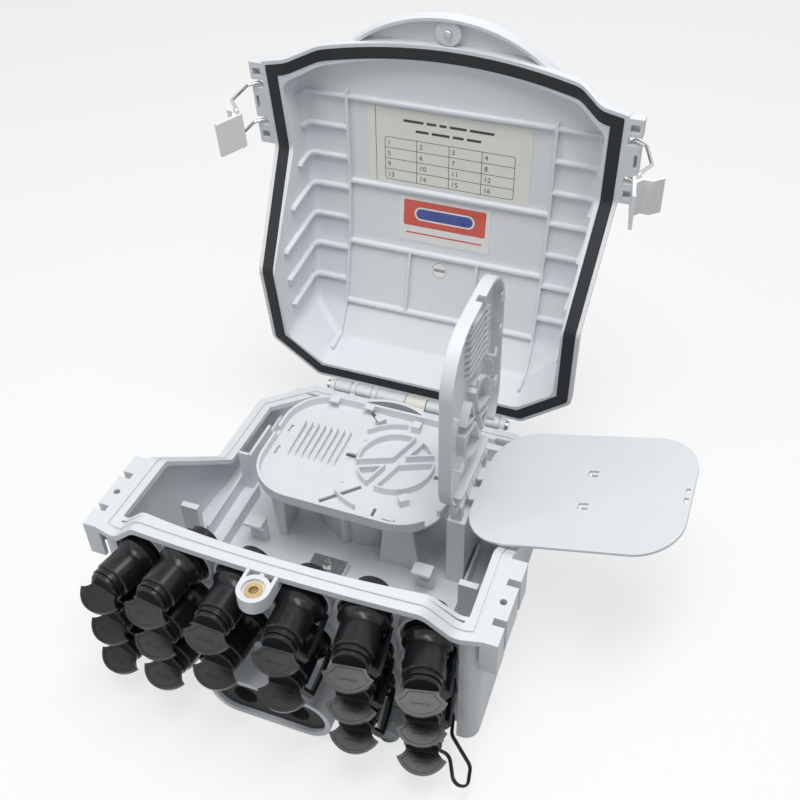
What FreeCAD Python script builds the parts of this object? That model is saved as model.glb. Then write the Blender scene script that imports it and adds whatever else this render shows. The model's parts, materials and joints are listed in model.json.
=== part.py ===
# Fibre termination box for sixteen drop cables, shown with lid, upper tray and tray cover folded open.
# Millimetres. +X is the box's right, +Y points to the hinge side, +Z away from the wall.
# The origin lies in the wall face, in the middle of the base.
import FreeCAD
import Part
import Sketcher
import math
import os
import re

V = FreeCAD.Vector
Turn = FreeCAD.Rotation
Place = FreeCAD.Placement

DIMS = [
    ("base_width", 280, "rim width at the front corners"),
    ("base_depth", 256, "rim depth between front corners and rear edge"),
    ("knee_in", 1.5, "rim inset at the knee"),
    ("knee_back", 72.5, "front corner to the knee, where the rim starts to fall"),
    ("step_in", 7, "rim inset at the foot of the slope"),
    ("step_back", 148, "front corner to the foot of the slope"),
    ("rear_in", 8.5, "rim inset at the rear"),
    ("corner_cut", 33, "length of the cut rear corners"),
    ("corner_in", 47, "inset of the cut rear corners"),
    ("rim_bow", 16, "forward bow of the front edge"),
    ("rim_high", 118, "height of the level front rim"),
    ("rim_low", 49, "height of the level rear rim"),
    ("foot_in", 17.5, "side to the foot of the front arch"),
    ("shoulder_in", 37, "side to the shoulder of the front arch"),
    ("shoulder_rise", 20, "height of the arch shoulder over the rim"),
    ("peak_rise", 35.5, "height of the arch corner that is rounded off"),
    ("peak_round", 640, "rounding of the arch peak"),
    ("rim_width", 13, "width of the rim band"),
    ("rim_thick", 5, "thickness of the rim band"),
    ("groove_in", 6.2, "rim edge to the sealing groove"),
    ("groove_width", 1.4, "width of the sealing groove"),
    ("groove_depth", 1.2, "depth of the sealing groove"),
    ("wall", 3.2, "wall of the base"),
    ("floor_top", 20, "floor over the wall face"),
    ("floor_thick", 3, "thickness of the floor"),
    ("panel_radius", 450, "curve of the port panel"),
    ("panel_lead", 6, "port panel ahead of the front corners"),
    ("cheek_width", 15, "width of the cheeks beside the port panel"),
    ("corner_round", 10, "rounding of the front corners"),
    ("column_a", 0.0775, "inner port columns as a share of the width"),
    ("column_b", 0.2268, "middle port columns as a share of the width"),
    ("column_c", 0.368, "outer port columns as a share of the width"),
    ("row_pitch", 35, "height between ports in a column"),
    ("row_wide", 40, "height between the two ports of the inner columns"),
    ("top_a", 3, "top port of the inner columns over the front rim"),
    ("top_b", 2.5, "top port of the middle columns over the front rim"),
    ("top_c", -12.5, "top port of the outer columns over the front rim"),
    ("port_r", 11, "radius of the adapter thread"),
    ("skirt_r", 16.5, "radius of the cap skirt"),
    ("cap_end", 43.5, "end of the cap neck from the panel"),
    ("tab_droop", 21, "droop of the cap tab in degrees"),
    ("tab_half", 16.5, "half width of the cap tab"),
    ("collar_r", 20.2, "radius of the raised collars on the panel"),
    ("spout_half", 46, "half width of the oval cable spout"),
    ("spout_rise", 20, "half height of the oval cable spout"),
    ("spout_z", 21, "height of the oval cable spout"),
    ("spout_long", 29, "cable spout ahead of the panel"),
    ("gland_x", 79, "cable glands from the middle"),
    ("gland_z", 10.8, "height of the cable glands"),
    ("gland_r", 6.5, "radius of the gland thread"),
    ("block_out", 10, "latch block beyond the rim"),
    ("block_long", 70, "length of the latch blocks"),
    ("block_drop", 30, "height of the latch blocks"),
    ("leg_lead", 17.5, "front corner to the first bail leg"),
    ("leg_span", 33, "distance of the bail legs"),
    ("notch", 5.5, "width of the leg notches"),
    ("boss_lead", 29, "front screw boss ahead of the front corners"),
    ("boss_r", 11, "radius of the front screw boss"),
    ("boss_long", 12, "height of the front screw boss"),
    ("hinge_out", 9, "lid hinge behind the rear edge"),
    ("hinge_drop", 1.8, "lid hinge under the rear rim"),
    ("hinge_r", 5.5, "radius of the hinge barrels"),
    ("hinge_pin_r", 2.5, "radius of the lid hinge pins"),
    ("bolt_x", 120, "back insert spacing across"),
    ("bolt_y", 160, "back insert spacing along"),
    ("bolt_r", 2.5, "radius of the insert thread"),
    ("lid_open", 85, "opening angle of the lid in degrees"),
    ("lid_over", 2.5, "lid edge beyond the rim"),
    ("lip_gap", 0.8, "lid edge over the rim when closed"),
    ("lip_high", 7, "top of the lid flange over the parting face"),
    ("lid_wall", 3, "wall of the lid"),
    ("ceiling_a", 36, "ceiling over the front rim at the front corners"),
    ("ceiling_b", 24, "ceiling over the front rim at the first bend"),
    ("ceiling_c", 11.5, "ceiling over the front rim at the second bend"),
    ("ceiling_d", 59, "ceiling over the rear rim at the third bend"),
    ("ceiling_e", 29, "ceiling over the rear rim at the rear wall"),
    ("bend_b", 107, "front corner to the first bend"),
    ("bend_c", 161, "front corner to the second bend"),
    ("bend_d", 218, "front corner to the third bend"),
    ("ceiling_round", 11, "rounding between ceiling and side walls"),
    ("rib_high", 4, "height of the lid ribs"),
    ("rib_thick", 2.2, "thickness of the lid ribs"),
    ("rib_x", 86, "long lid ribs from the middle"),
    ("gasket_in", 0.8, "rim edge to the gasket"),
    ("gasket_wide", 9, "width of the gasket"),
    ("nose_half", 88, "half width of the lid nose"),
    ("nose_lead", 41, "lid nose ahead of the front corners"),
    ("bail_r", 1.4, "radius of the bail wire"),
    ("lever_long", 28, "length of the latch levers"),
    ("tray_width", 153, "width of the splice trays"),
    ("tray_depth", 115, "depth of the splice trays"),
    ("tray_round", 37, "corner rounding of the splice trays"),
    ("tray_high", 9, "rim height of the splice trays"),
    ("tray_y", 18, "middle of the trays behind the middle of the base"),
    ("tray_z", 87, "underside of the lower tray"),
    ("pin_out", 8.5, "tray hinge beside the trays"),
    ("pin_rise", 14, "tray hinge over the underside of the lower tray"),
    ("pin_r", 2, "radius of the tray hinge pin"),
    ("tray_open", 90, "opening angle of the upper tray in degrees"),
    ("cover_open", 164.8, "opening angle of the tray cover in degrees"),
    ("hub_r", 30, "radius of the storage hub on the trays"),
    ("drum_r", 50, "radius of the drum under the lower tray"),
]
ALIASES = {alias for alias, _, _ in DIMS}

doc = FreeCAD.newDocument("fibre_termination_box")
sheet = doc.addObject("Spreadsheet::Sheet", "dims")
for row, (alias, number, note) in enumerate(DIMS, 1):
    sheet.set("A%d" % row, note)
    sheet.set("B%d" % row, str(number))
    sheet.setAlias("B%d" % row, alias)
doc.recompute()

# Formulas that recur, in sheet aliases.
HALF = "(base_width / 2)"
FRONT = "(-base_depth / 2)"
REAR = "(base_depth / 2)"
KNEE = f"({FRONT} + knee_back)"
STEP = f"({FRONT} + step_back)"
CUT_Y = f"({REAR} - corner_cut)"
CHEEK = f"({HALF} - cheek_width)"
PANEL_Y = f"({FRONT} - panel_lead)"
SLOPE = f"((peak_rise - shoulder_rise) / ({HALF} - shoulder_in))"
PEAK_Z = f"(rim_high + peak_rise - peak_round * (sqrt(1 + {SLOPE} * {SLOPE}) - 1))"
HINGE_Y = f"({REAR} + hinge_out)"
HINGE_Z = "(rim_low - hinge_drop)"
LEG_1 = f"({FRONT} + leg_lead)"
LEG_2 = f"({FRONT} + leg_lead + leg_span)"
BAIL_X = f"({HALF} + 7)"
BAIL_Z = "(rim_high + 4.5)"
BOSS_Y = f"({FRONT} - boss_lead)"
PIN_X = "(tray_width / 2 + pin_out)"
PIN_Z = "(tray_z + pin_rise)"
STACK_Z = "(tray_z + tray_high + 0.3)"
COVER_Z = "(tray_z + 2 * tray_high + 0.6)"
CEILING_A = "(rim_high + ceiling_a)"
CEILING_B = "(rim_high + ceiling_b)"
CEILING_C = "(rim_high + ceiling_c)"
CEILING_D = "(rim_low + ceiling_d)"
CEILING_E = "(rim_low + ceiling_e)"


def e(formula):
    """A formula in sheet aliases as a FreeCAD expression."""
    return re.sub(r"[a-z]\w*", lambda m: "dims." + m.group() if m.group() in ALIASES else m.group(),
                  str(formula))


def val(formula):
    return float(sheet.evalExpression(e(formula)))


def bind(obj, prop, formula):
    obj.setExpression(prop, e(formula))


def arc(a, m, b):
    """Counter-clockwise arc through three points, and which of its two ends is the first point."""
    c = Part.Circle(a, m, b)

    def angle(p):
        return math.atan2(p.y - c.Center.y, p.x - c.Center.x)

    def sweep(p, q):
        return (angle(q) - angle(p)) % (2 * math.pi)

    forward = sweep(a, m) < sweep(a, b)
    s, t = (a, b) if forward else (b, a)
    ring = Part.Circle(c.Center, V(0, 0, 1), c.Radius)
    return Part.ArcOfCircle(ring, angle(s), angle(s) + sweep(s, t)), 1 if forward else 2


def draw(sk, loop):
    """Add a closed outline to a sketch, with every corner pinned to its formula.

    A corner is (x, y), or (x, y, r) when rounded, or (xm, ym, x, y) when reached by an arc through xm, ym.
    A loop of one tuple ("o", x, y, r) is a circle.
    """
    cons = []
    formulas = {}

    def pin(geo, pos, x, y):
        for kind, formula in (("DistanceX", x), ("DistanceY", y)):
            formulas[len(cons)] = formula
            cons.append(Sketcher.Constraint(kind, -1, 1, geo, pos, val(formula)))

    def radius(geo, formula):
        formulas[len(cons)] = formula
        cons.append(Sketcher.Constraint("Radius", geo, val(formula)))

    if loop[0][0] == "o":
        _, x, y, r = loop[0]
        pin(sk.addGeometry(Part.Circle(V(val(x), val(y), 0), V(0, 0, 1), val(r)), False), 3, x, y)
        radius(sk.GeometryCount - 1, r)
    else:
        n = len(loop)
        names = [c[2:] if len(c) == 4 else c[:2] for c in loop]
        points = [V(val(x), val(y), 0) for x, y in names]
        enter = list(points)
        leave = list(points)
        middle = list(points)
        for i, c in enumerate(loop):
            if len(c) == 3:
                a = (points[i - 1] - points[i]).normalize()
                b = (points[(i + 1) % n] - points[i]).normalize()
                half = a.getAngle(b) / 2
                r = val(c[2])
                enter[i] = points[i] + a * (r / math.tan(half))
                leave[i] = points[i] + b * (r / math.tan(half))
                middle[i] = points[i] + (a + b).normalize() * (r / math.sin(half) - r)
        sides = []
        for i, c in enumerate(loop):
            if len(c) == 4:
                via = V(val(c[0]), val(c[1]), 0)
                curve, first = arc(leave[i - 1], via, enter[i])
                geo = sk.addGeometry(curve, False)
                mark = sk.addGeometry(Part.Point(via), True)
                pin(mark, 1, c[0], c[1])
                cons.append(Sketcher.Constraint("PointOnObject", mark, 1, geo))
                sides.append((geo, first, 3 - first))
            else:
                sides.append((sk.addGeometry(Part.LineSegment(leave[i - 1], enter[i]), False), 1, 2))
        for i, c in enumerate(loop):
            geo, _, out = sides[i]
            following, start, _ = sides[(i + 1) % n]
            if len(c) == 3:
                curve, first = arc(enter[i], middle[i], leave[i])
                bend = sk.addGeometry(curve, False)
                mark = sk.addGeometry(Part.Point(points[i]), True)
                pin(mark, 1, c[0], c[1])
                cons.append(Sketcher.Constraint("PointOnObject", mark, 1, geo))
                cons.append(Sketcher.Constraint("PointOnObject", mark, 1, following))
                cons.append(Sketcher.Constraint("Tangent", geo, out, bend, first))
                cons.append(Sketcher.Constraint("Tangent", bend, 3 - first, following, start))
                radius(bend, c[2])
            else:
                cons.append(Sketcher.Constraint("Coincident", geo, out, following, start))
                pin(following, start, *names[i])
    before = sk.ConstraintCount
    sk.addConstraint(cons)
    for index, formula in formulas.items():
        sk.setExpression("Constraints[%d]" % (before + index), e(formula))


PLANES = {
    "xy": (Turn(), V(0, 0, 1), "z"),
    "xz": (Turn(V(1, 0, 0), 90), V(0, 1, 0), "y"),
    "yz": (Turn(V(1, 1, 1), 120), V(1, 0, 0), "x"),
}


def sketch(name, plane, loops, start="0"):
    turn, _, axis = PLANES[plane]
    sk = doc.addObject("Sketcher::SketchObject", name)
    sk.Placement = Place(V(), turn)
    bind(sk, "Placement.Base." + axis, start)
    for loop in loops:
        draw(sk, loop)
    return sk


def extrude(name, base, plane, length, start=None):
    ex = doc.addObject("Part::Extrusion", name)
    ex.Base = base
    ex.DirMode = "Custom"
    ex.Dir = PLANES[plane][1]
    ex.Solid = True
    bind(ex, "LengthFwd", length)
    if start is not None:
        bind(ex, "Placement.Base." + PLANES[plane][2], start)
    return ex


def prism(name, plane, loops, start, end):
    return extrude(name, sketch(name + "_outline", plane, loops, start), plane, f"({end}) - ({start})")


def offset(name, source, by):
    ring = doc.addObject("Part::Offset2D", name)
    ring.Source = source
    ring.Join = "Intersection"
    bind(ring, "Value", by)
    return ring


def box(name, x, y, z):
    b = doc.addObject("Part::Box", name)
    for prop, axis, (low, high) in (("Length", "x", x), ("Width", "y", y), ("Height", "z", z)):
        bind(b, prop, f"({high}) - ({low})")
        bind(b, "Placement.Base." + axis, low)
    return b


def rod(name, axis, r, span, x="0", y="0", z="0"):
    """Cylinder along an axis; span gives its two ends on that axis."""
    c = doc.addObject("Part::Cylinder", name)
    c.Placement = Place(V(), {"x": Turn(V(0, 1, 0), 90), "y": Turn(V(1, 0, 0), -90), "z": Turn()}[axis])
    at = {"x": x, "y": y, "z": z}
    at[axis] = span[0]
    bind(c, "Radius", r)
    bind(c, "Height", f"({span[1]}) - ({span[0]})")
    for key, formula in at.items():
        bind(c, "Placement.Base." + key, formula)
    return c


def fuse(name, parts):
    f = doc.addObject("Part::MultiFuse", name)
    f.Shapes = parts
    return f


def cut(name, base, *tools):
    c = doc.addObject("Part::Cut", name)
    c.Base = base
    c.Tool = tools[0] if len(tools) == 1 else fuse(name + "_tool", list(tools))
    return c


def common(name, *parts):
    c = doc.addObject("Part::MultiCommon", name)
    c.Shapes = list(parts)
    return c


def placed(name, parts, place=None):
    c = doc.addObject("Part::Compound", name)
    c.Links = parts if isinstance(parts, list) else [parts]
    if place is not None:
        c.Placement = place
    return c


def mirrored(name, source):
    m = doc.addObject("Part::Mirroring", name)
    m.Source = source
    m.Normal = V(1, 0, 0)
    return m


def both(part):
    """A piece on the right together with its mirror image on the left."""
    return [part, mirrored(part.Name + "_left", part)]


def flipped(loop):
    """The corners of a right-hand outline, followed by their mirror images in return order."""
    return loop + [(f"-({c[0]})",) + tuple(c[1:]) for c in reversed(loop)]


def body(name):
    return doc.addObject("PartDesign::Body", name)


def origin_plane(owner, role):
    return [f for f in owner.Origin.OriginFeatures if f.Role == role][0]


def body_sketch(owner, name, role, loops, shift=None):
    sk = owner.newObject("Sketcher::SketchObject", name)
    sk.AttachmentSupport = [(origin_plane(owner, role), "")]
    sk.MapMode = "FlatFace"
    if shift is not None:
        sk.AttachmentOffset = shift
    for loop in loops:
        draw(sk, loop)
    return sk


def turned(name, profile):
    """Body turned about its Z axis from a half profile of (radius, height) corners."""
    owner = body(name)
    sk = body_sketch(owner, name + "_profile", "XZ_Plane", [profile])
    turn = owner.newObject("PartDesign::Revolution", name + "_turn")
    turn.Profile = sk
    turn.ReferenceAxis = (sk, ["V_Axis"])
    turn.Angle = 360
    return owner


def add_pad(owner, name, sk, length):
    pad = owner.newObject("PartDesign::Pad", name)
    pad.Profile = sk
    pad.Midplane = True
    bind(pad, "Length", length)
    return pad


# Where things sit: the open lid, the folded trays, the ports on their curved panel.

HINGE = V(0, val(HINGE_Y), val(HINGE_Z))
LID_OPEN = Place(V(), Turn(V(1, 0, 0), -val("lid_open")), HINGE)
PIN = V(val(PIN_X), 0, val(PIN_Z))
TRAY_OPEN = Place(V(), Turn(V(0, 1, 0), val("tray_open")), PIN)
COVER_OPEN = Place(V(), Turn(V(0, 1, 0), val("cover_open")), PIN)


def on_panel(x, z):
    """Placement on the port panel: local Z points out along the port, local Y up."""
    r = val("panel_radius")
    y = val(PANEL_Y) + r - math.sqrt(r * r - x * x)
    return Place(V(x, y, z), Turn(V(0, 0, 1), math.degrees(math.asin(x / r))) * Turn(V(1, 0, 0), 90))


def port_list():
    ports = []
    for side, share, top, pitch, count in (
            (-1, "column_c", "top_c", "row_pitch", 3), (-1, "column_b", "top_b", "row_pitch", 3),
            (-1, "column_a", "top_a", "row_wide", 2), (1, "column_a", "top_a", "row_wide", 2),
            (1, "column_b", "top_b", "row_pitch", 3), (1, "column_c", "top_c", "row_pitch", 3)):
        for row in range(count):
            ports.append((side * val(f"base_width * {share}"), val(f"rim_high + {top} - {row} * {pitch}")))
    return ports


PORTS = port_list()

# The space under the parting face: a stepped side profile and the arch over the front edge.
side_under = prism("side_under", "yz", [[
    (f"{FRONT} - 70", "-5"), (f"{FRONT} - 70", "rim_high"), (KNEE, "rim_high", 9), (STEP, "rim_low", 9),
    (f"{REAR} + 30", "rim_low"), (f"{REAR} + 30", "-5")]], f"-{HALF} - 30", f"{HALF} + 30")
arch_under = prism("arch_under", "xz", [[
    (f"{HALF} + 30", "rim_high - 20"), (f"{HALF} + 30", "rim_high"), (f"{HALF} - foot_in", "rim_high", 12),
    (f"{HALF} - shoulder_in", "rim_high + shoulder_rise", 14), ("0", "rim_high + peak_rise", "peak_round"),
    (f"-{HALF} + shoulder_in", "rim_high + shoulder_rise", 14), (f"-{HALF} + foot_in", "rim_high", 12),
    (f"-{HALF} - 30", "rim_high"), (f"-{HALF} - 30", "rim_high - 20")]], f"{FRONT} - 70", f"{FRONT} + 30")
under = fuse("under_parting", [side_under, arch_under])


def under_by(name, by):
    c = placed(name, under)
    bind(c, "Placement.Base.z", by)
    return c


under_rim = under_by("under_rim", "-rim_thick")
under_groove = under_by("under_groove", "-groove_depth")
under_lip = under_by("under_lip", "lip_gap")
under_flange = under_by("under_flange", "lip_high")

RIM = [(f"-{HALF}", FRONT), ("0", f"{FRONT} - rim_bow", HALF, FRONT)] + flipped([
    (f"{HALF} - knee_in", KNEE), (f"{HALF} - step_in", STEP), (f"{HALF} - rear_in", CUT_Y, 6),
    (f"{HALF} - corner_in", REAR, 6)])
rim_plan = sketch("rim_plan", "xy", [RIM])


def rim_column(name, by):
    """Tall column over the rim outline, grown or shrunk."""
    plan = rim_plan if by is None else offset(name + "_plan", rim_plan, by)
    return extrude(name, plan, "xy", "180", "10")


rim_outer = rim_column("rim_outer", None)
rim_inner = rim_column("rim_inner", "-rim_width")


# Base housing. The moulding is seven nodes that meet face to face, each simple enough for its collision to
# stay open: walls with floor and rim, back ribs, hinge knuckles, port panel, drum, tower, floor fittings.
def panel_y(x, inset):
    """Where the port panel, moved inward, lies at a distance from the middle."""
    r = f"(panel_radius - {inset})"
    return f"({PANEL_Y} + panel_radius - sqrt({r} * {r} - {x} * {x}))"


def walls(inset):
    """Outline of the base walls, moved inward; between the cheeks it follows the curved port panel."""
    cheek = f"({CHEEK} + {inset})"
    side = panel_y(cheek, inset)
    front = f"{FRONT} + {inset}"
    corner = f"corner_round - {inset}"
    sides = flipped([
        (f"{HALF} - 1 - {inset}", front, corner), (f"{HALF} - knee_in - 1 - {inset}", KNEE),
        (f"{HALF} - step_in - 1 - {inset}", STEP),
        (f"{HALF} - rear_in - 1 - {inset}", f"{CUT_Y} - 0.4 - {inset} / 2", 5),
        (f"{HALF} - corner_in - 0.4 - {inset} / 2", f"{REAR} - 1 - {inset}", 5)])
    return [(f"-{cheek}", front), (f"-{cheek}", side), ("0", f"{PANEL_Y} + {inset}", cheek, side),
            (cheek, front)] + sides


wall_plan = sketch("wall_plan", "xy", [walls("0")])
inner_plan = sketch("inner_plan", "xy", [walls("wall")])
shell_block = common("shell_block", extrude("wall_column", wall_plan, "xy", "180"), under)
cavity = extrude("cavity", inner_plan, "xy", "180", "floor_top")
back_space = extrude("back_space", inner_plan, "xy", "floor_top - floor_thick + 1", "-1")
long_ribs = [box("back_rib_mid", ("-1.5", "1.5"), (f"{FRONT} - 20", f"{REAR} + 20"), ("-2", "floor_top"))]
long_ribs += both(box("back_rib_side", ("bolt_x / 2 + 18", "bolt_x / 2 + 21"),
                      (f"{FRONT} - 20", f"{REAR} + 20"),
                      ("-2", "floor_top")))
cross_ribs = []
for number, y in enumerate(("-bolt_y / 4 - 10", "0", "bolt_y / 4 + 10")):
    cross_ribs.append(box(f"back_rib_{number}", (f"-{HALF}", HALF), (f"{y} - 1.5", f"{y} + 1.5"),
                          ("-2", "floor_top")))
BOLTS = [(sx, sy) for sx in ("-", "") for sy in ("-", "")]
back_bosses = [rod(f"back_boss_{number}", "z", "bolt_r + 5", ("-2", "floor_top"), f"{sx}bolt_x / 2",
                   f"{sy}bolt_y / 2") for number, (sx, sy) in enumerate(BOLTS)]
spout_pit = box("spout_pit", ("-spout_half - 3", "spout_half + 3"), (f"{PANEL_Y} + 1", f"{FRONT} + 36"),
                ("-2", "floor_top"))
gland_pit = box("gland_pit", ("gland_x - 13", "gland_x + 13"), (f"{PANEL_Y} + 4", f"{FRONT} + 34"),
                ("-2", "floor_top"))
pits = [spout_pit] + both(gland_pit)
back_hollow = cut("back_hollow", back_space, *pits)
shell = cut("shell", shell_block, cavity, back_hollow)
panel_zone = common("panel_zone", prism("panel_column", "xy", [[
    (f"-{CHEEK}", panel_y(CHEEK, "0")), ("0", PANEL_Y, CHEEK, panel_y(CHEEK, "0")),
    (CHEEK, panel_y(CHEEK, "wall")), ("0", f"{PANEL_Y} + wall", f"-{CHEEK}", panel_y(CHEEK, "wall"))]],
    "0", "180"), under_rim)

rim_band = common("rim_band", cut("rim_ring", rim_outer, rim_inner), cut("rim_skin", under, under_rim))
groove = common("groove", cut("groove_ring", rim_column("groove_outer", "-groove_in"),
                              rim_column("groove_inner", "-groove_in - groove_width")),
                cut("groove_skin", under, under_groove))

# Latch block on the right: a hollow box with a notch for each bail leg and a sealing hole.
block_outer = box("block_outer", (f"{HALF} - 2", f"{HALF} + block_out"), (FRONT, f"{FRONT} + block_long"),
                  ("rim_high - block_drop", "rim_high"))
block_space = box("block_space", (f"{HALF} - 3", f"{HALF} + block_out - wall"),
                  (f"{FRONT} + wall", f"{FRONT} + block_long - wall"),
                  ("rim_high - block_drop - 1", "rim_high - 5"))
block_parts = [cut("block_hollow", block_outer, block_space)]
block_cuts = [rod("block_hole", "z", "2.4", ("rim_high - 8", "rim_high + 1"), f"{HALF} + 3.5",
                  f"{LEG_1} + leg_span / 2")]
for number, leg in enumerate((LEG_1, LEG_2)):
    block_parts.append(box(f"block_web_{number}", (f"{HALF} - 2", f"{HALF} + block_out"),
                           (f"{leg} - notch / 2 - 2.2", f"{leg} + notch / 2 + 2.2"),
                           ("rim_high - block_drop", "rim_high - 1")))
    block_cuts.append(box(f"block_notch_{number}", (f"{HALF} + 1.5", f"{HALF} + block_out + 1"),
                          (f"{leg} - notch / 2", f"{leg} + notch / 2"),
                          ("rim_high - block_drop - 1", "rim_high + 1")))
block = cut("latch_block", fuse("block_solid", block_parts), *block_cuts)

# Front screw boss under the arch.
boss_parts = [
    rod("boss_post", "z", "boss_r", (f"{PEAK_Z} - boss_long", f"{PEAK_Z} - 0.3"), y=BOSS_Y),
    box("boss_web", ("-1.6", "1.6"), (BOSS_Y, f"{FRONT} - rim_bow + 4"),
        (f"{PEAK_Z} - boss_long + 2", f"{PEAK_Z} - 1.2")),
    box("boss_shelf", ("-boss_r + 1", "boss_r - 1"), (BOSS_Y, f"{FRONT} - rim_bow + 2"),
        (f"{PEAK_Z} - boss_long", f"{PEAK_Z} - boss_long + 2.4")),
]
boss_parts += both(box("boss_side", ("boss_r - 2.4", "boss_r"), (BOSS_Y, f"{FRONT} - rim_bow + 4"),
                       (f"{PEAK_Z} - boss_long", f"{PEAK_Z} - 0.3")))
boss_bore = rod("boss_bore", "z", "4.6", (f"{PEAK_Z} - 10.5", f"{PEAK_Z} + 2"), y=BOSS_Y)
boss_sink = rod("boss_sink", "z", "7.6", (f"{PEAK_Z} - 2.8", f"{PEAK_Z} + 2"), y=BOSS_Y)

# Port holes and the raised collars around them.
hole_tool = doc.addObject("Part::Cylinder", "hole_tool")
bind(hole_tool, "Radius", "port_r + 0.3")
hole_tool.Height = 30
hole_tool.Placement.Base = V(0, 0, -20)
collar_outer = doc.addObject("Part::Cylinder", "collar_outer")
bind(collar_outer, "Radius", "collar_r")
collar_outer.Height = 6.5
collar_outer.Placement.Base = V(0, 0, -2)
collar_inner = doc.addObject("Part::Cylinder", "collar_inner")
bind(collar_inner, "Radius", "collar_r - 2")
collar_inner.Height = 10
collar_inner.Placement.Base = V(0, 0, -3)
port_holes = fuse("port_holes", [placed(f"hole_{n}", hole_tool, on_panel(*p)) for n, p in enumerate(PORTS)])
collars = cut("collars", fuse("collars_out", [placed(f"collar_{n}", collar_outer, on_panel(*p))
                                              for n, p in enumerate(PORTS)]),
              fuse("collars_in", [placed(f"collar_hole_{n}", collar_inner, on_panel(*p))
                                  for n, p in enumerate(PORTS)]))


# Oval cable spout, and the pits that lead from the low entries up to the floor.
def oval(inset):
    r = f"(spout_rise - {inset} - 0.05)"
    return flipped([(f"spout_half - {inset}", f"spout_z - spout_rise + {inset}", r),
                    (f"spout_half - {inset}", f"spout_z + spout_rise - {inset}", r)])


spout = prism("spout", "xz", [oval(0)], f"{PANEL_Y} - spout_long", f"{PANEL_Y} + 6")
spout_hole = prism("spout_hole", "xz", [oval(4)], f"{PANEL_Y} - spout_long - 1", f"{FRONT} + 32")
gland_space = box("gland_space", ("gland_x - 10", "gland_x + 10"), (f"{PANEL_Y} + 12", f"{FRONT} + 31"),
                  ("gland_z - gland_r - 1", "floor_top + 1"))
gland_hole = doc.addObject("Part::Cylinder", "gland_hole")
bind(gland_hole, "Radius", "gland_r + 0.2")
gland_hole.Height = 24
gland_hole.Placement.Base = V(0, 0, -20)
gland_holes = [placed(f"gland_hole_{side}", gland_hole, on_panel(side * val("gland_x"), val("gland_z")))
               for side in (-1, 1)]

# Hinge knuckles on the rear wall.
knuckles = []
for number, x in enumerate(("39", "58.5", "78.5")):
    knuckles += both(rod(f"knuckle_{number}", "x", "hinge_r", (f"{x} - 2.5", f"{x} + 2.5"), y=HINGE_Y,
                         z=HINGE_Z))
    knuckles += both(box(f"knuckle_web_{number}", (f"{x} - 2.5", f"{x} + 2.5"), (f"{REAR} - 3", HINGE_Y),
                         (f"{HINGE_Z} - hinge_r", f"{HINGE_Z} - 0.5")))
pin_bore = both(rod("hinge_bore", "x", "hinge_pin_r", ("30", "85"), y=HINGE_Y, z=HINGE_Z))

# Furniture on the floor.
FLOOR = "floor_top"
furniture = []
furniture += both(box("post", (f"{HALF} - 37", f"{HALF} - 23"), (f"{FRONT} + 66", f"{FRONT} + 71"),
                      (FLOOR, "80")))
furniture += both(prism("post_fin", "yz",
                        [[(f"{FRONT} + 70", FLOOR), (f"{FRONT} + 86", FLOOR), (f"{FRONT} + 70", "72")]],
                        f"{HALF} - 31.5", f"{HALF} - 28.5"))
furniture += both(box("outer_guide", (f"{HALF} - 28", f"{HALF} - 25.6"), (f"{FRONT} + 88", f"{REAR} - 30"),
                      (FLOOR, "34")))
furniture += both(box("inner_guide", (f"{HALF} - 45", f"{HALF} - 42.8"),
                      (f"{FRONT} + 77", f"{FRONT} + 144"), (FLOOR, "33")))
furniture += both(box("stop_plate", (f"{HALF} - 36", f"{HALF} - 27"),
                      (f"{FRONT} + 148", f"{FRONT} + 150.4"), (FLOOR, "60")))
furniture += both(box("keeper", (f"{HALF} - 36", f"{HALF} - 33.6"), (f"{FRONT} + 150", f"{FRONT} + 190"),
                      (FLOOR, "56")))
rear_ledge = box("rear_ledge", (f"-{HALF} + 30", f"{HALF} - 30"), (f"{REAR} - 20", f"{REAR} - 2"),
                 ("floor_top - 1", "rim_low - 5"))
ledge_slot = both(box("ledge_slot", (f"{HALF} - 62", f"{HALF} - 44"), (f"{REAR} - 13", f"{REAR} - 10.5"),
                      ("rim_low - 12", "rim_low + 2")))
drum = cut("drum", rod("drum_outer", "z", "drum_r", (FLOOR, "tray_z"), y="tray_y + 26"),
           rod("drum_inner", "z", "drum_r - 2.6", (FLOOR, "tray_z + 1"), y="tray_y + 26"))
left_fin = prism("left_fin", "xz", [[("-61", FLOOR), ("-55", FLOOR), ("-53", "tray_z"), ("-66", "tray_z")]],
                 f"{FRONT} + 110", f"{FRONT} + 113")
right_fin = prism("right_fin", "xz", [[("24", FLOOR), ("57", FLOOR), ("50", "tray_z"), ("31", "tray_z")]],
                  f"{FRONT} + 112", f"{FRONT} + 115")
fin_ribs = [box("fin_rib_left", ("-59.5", "-57"), (f"{FRONT} + 112", f"{FRONT} + 140"),
                (FLOOR, "tray_z")),
            box("fin_rib_right", ("39", "42"), (f"{FRONT} + 114", f"{FRONT} + 132"), (FLOOR, "tray_z"))]


def hook(name, x, y):
    """Cable hook: an upright with an arched window and a lip bent to the front."""
    plate = box(name + "_plate", (f"{x} - 7.5", f"{x} + 7.5"), (y, f"{y} + 2.4"), (FLOOR, "46"))
    lip = box(name + "_lip", (f"{x} - 7.5", f"{x} + 7.5"), (f"{y} - 9", f"{y} + 1"), ("43.6", "46"))
    window = rod(name + "_window", "y", "5", (f"{y} - 1", f"{y} + 4"), x, z="32")
    return cut(name, fuse(name + "_solid", [plate, lip]), window)


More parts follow.
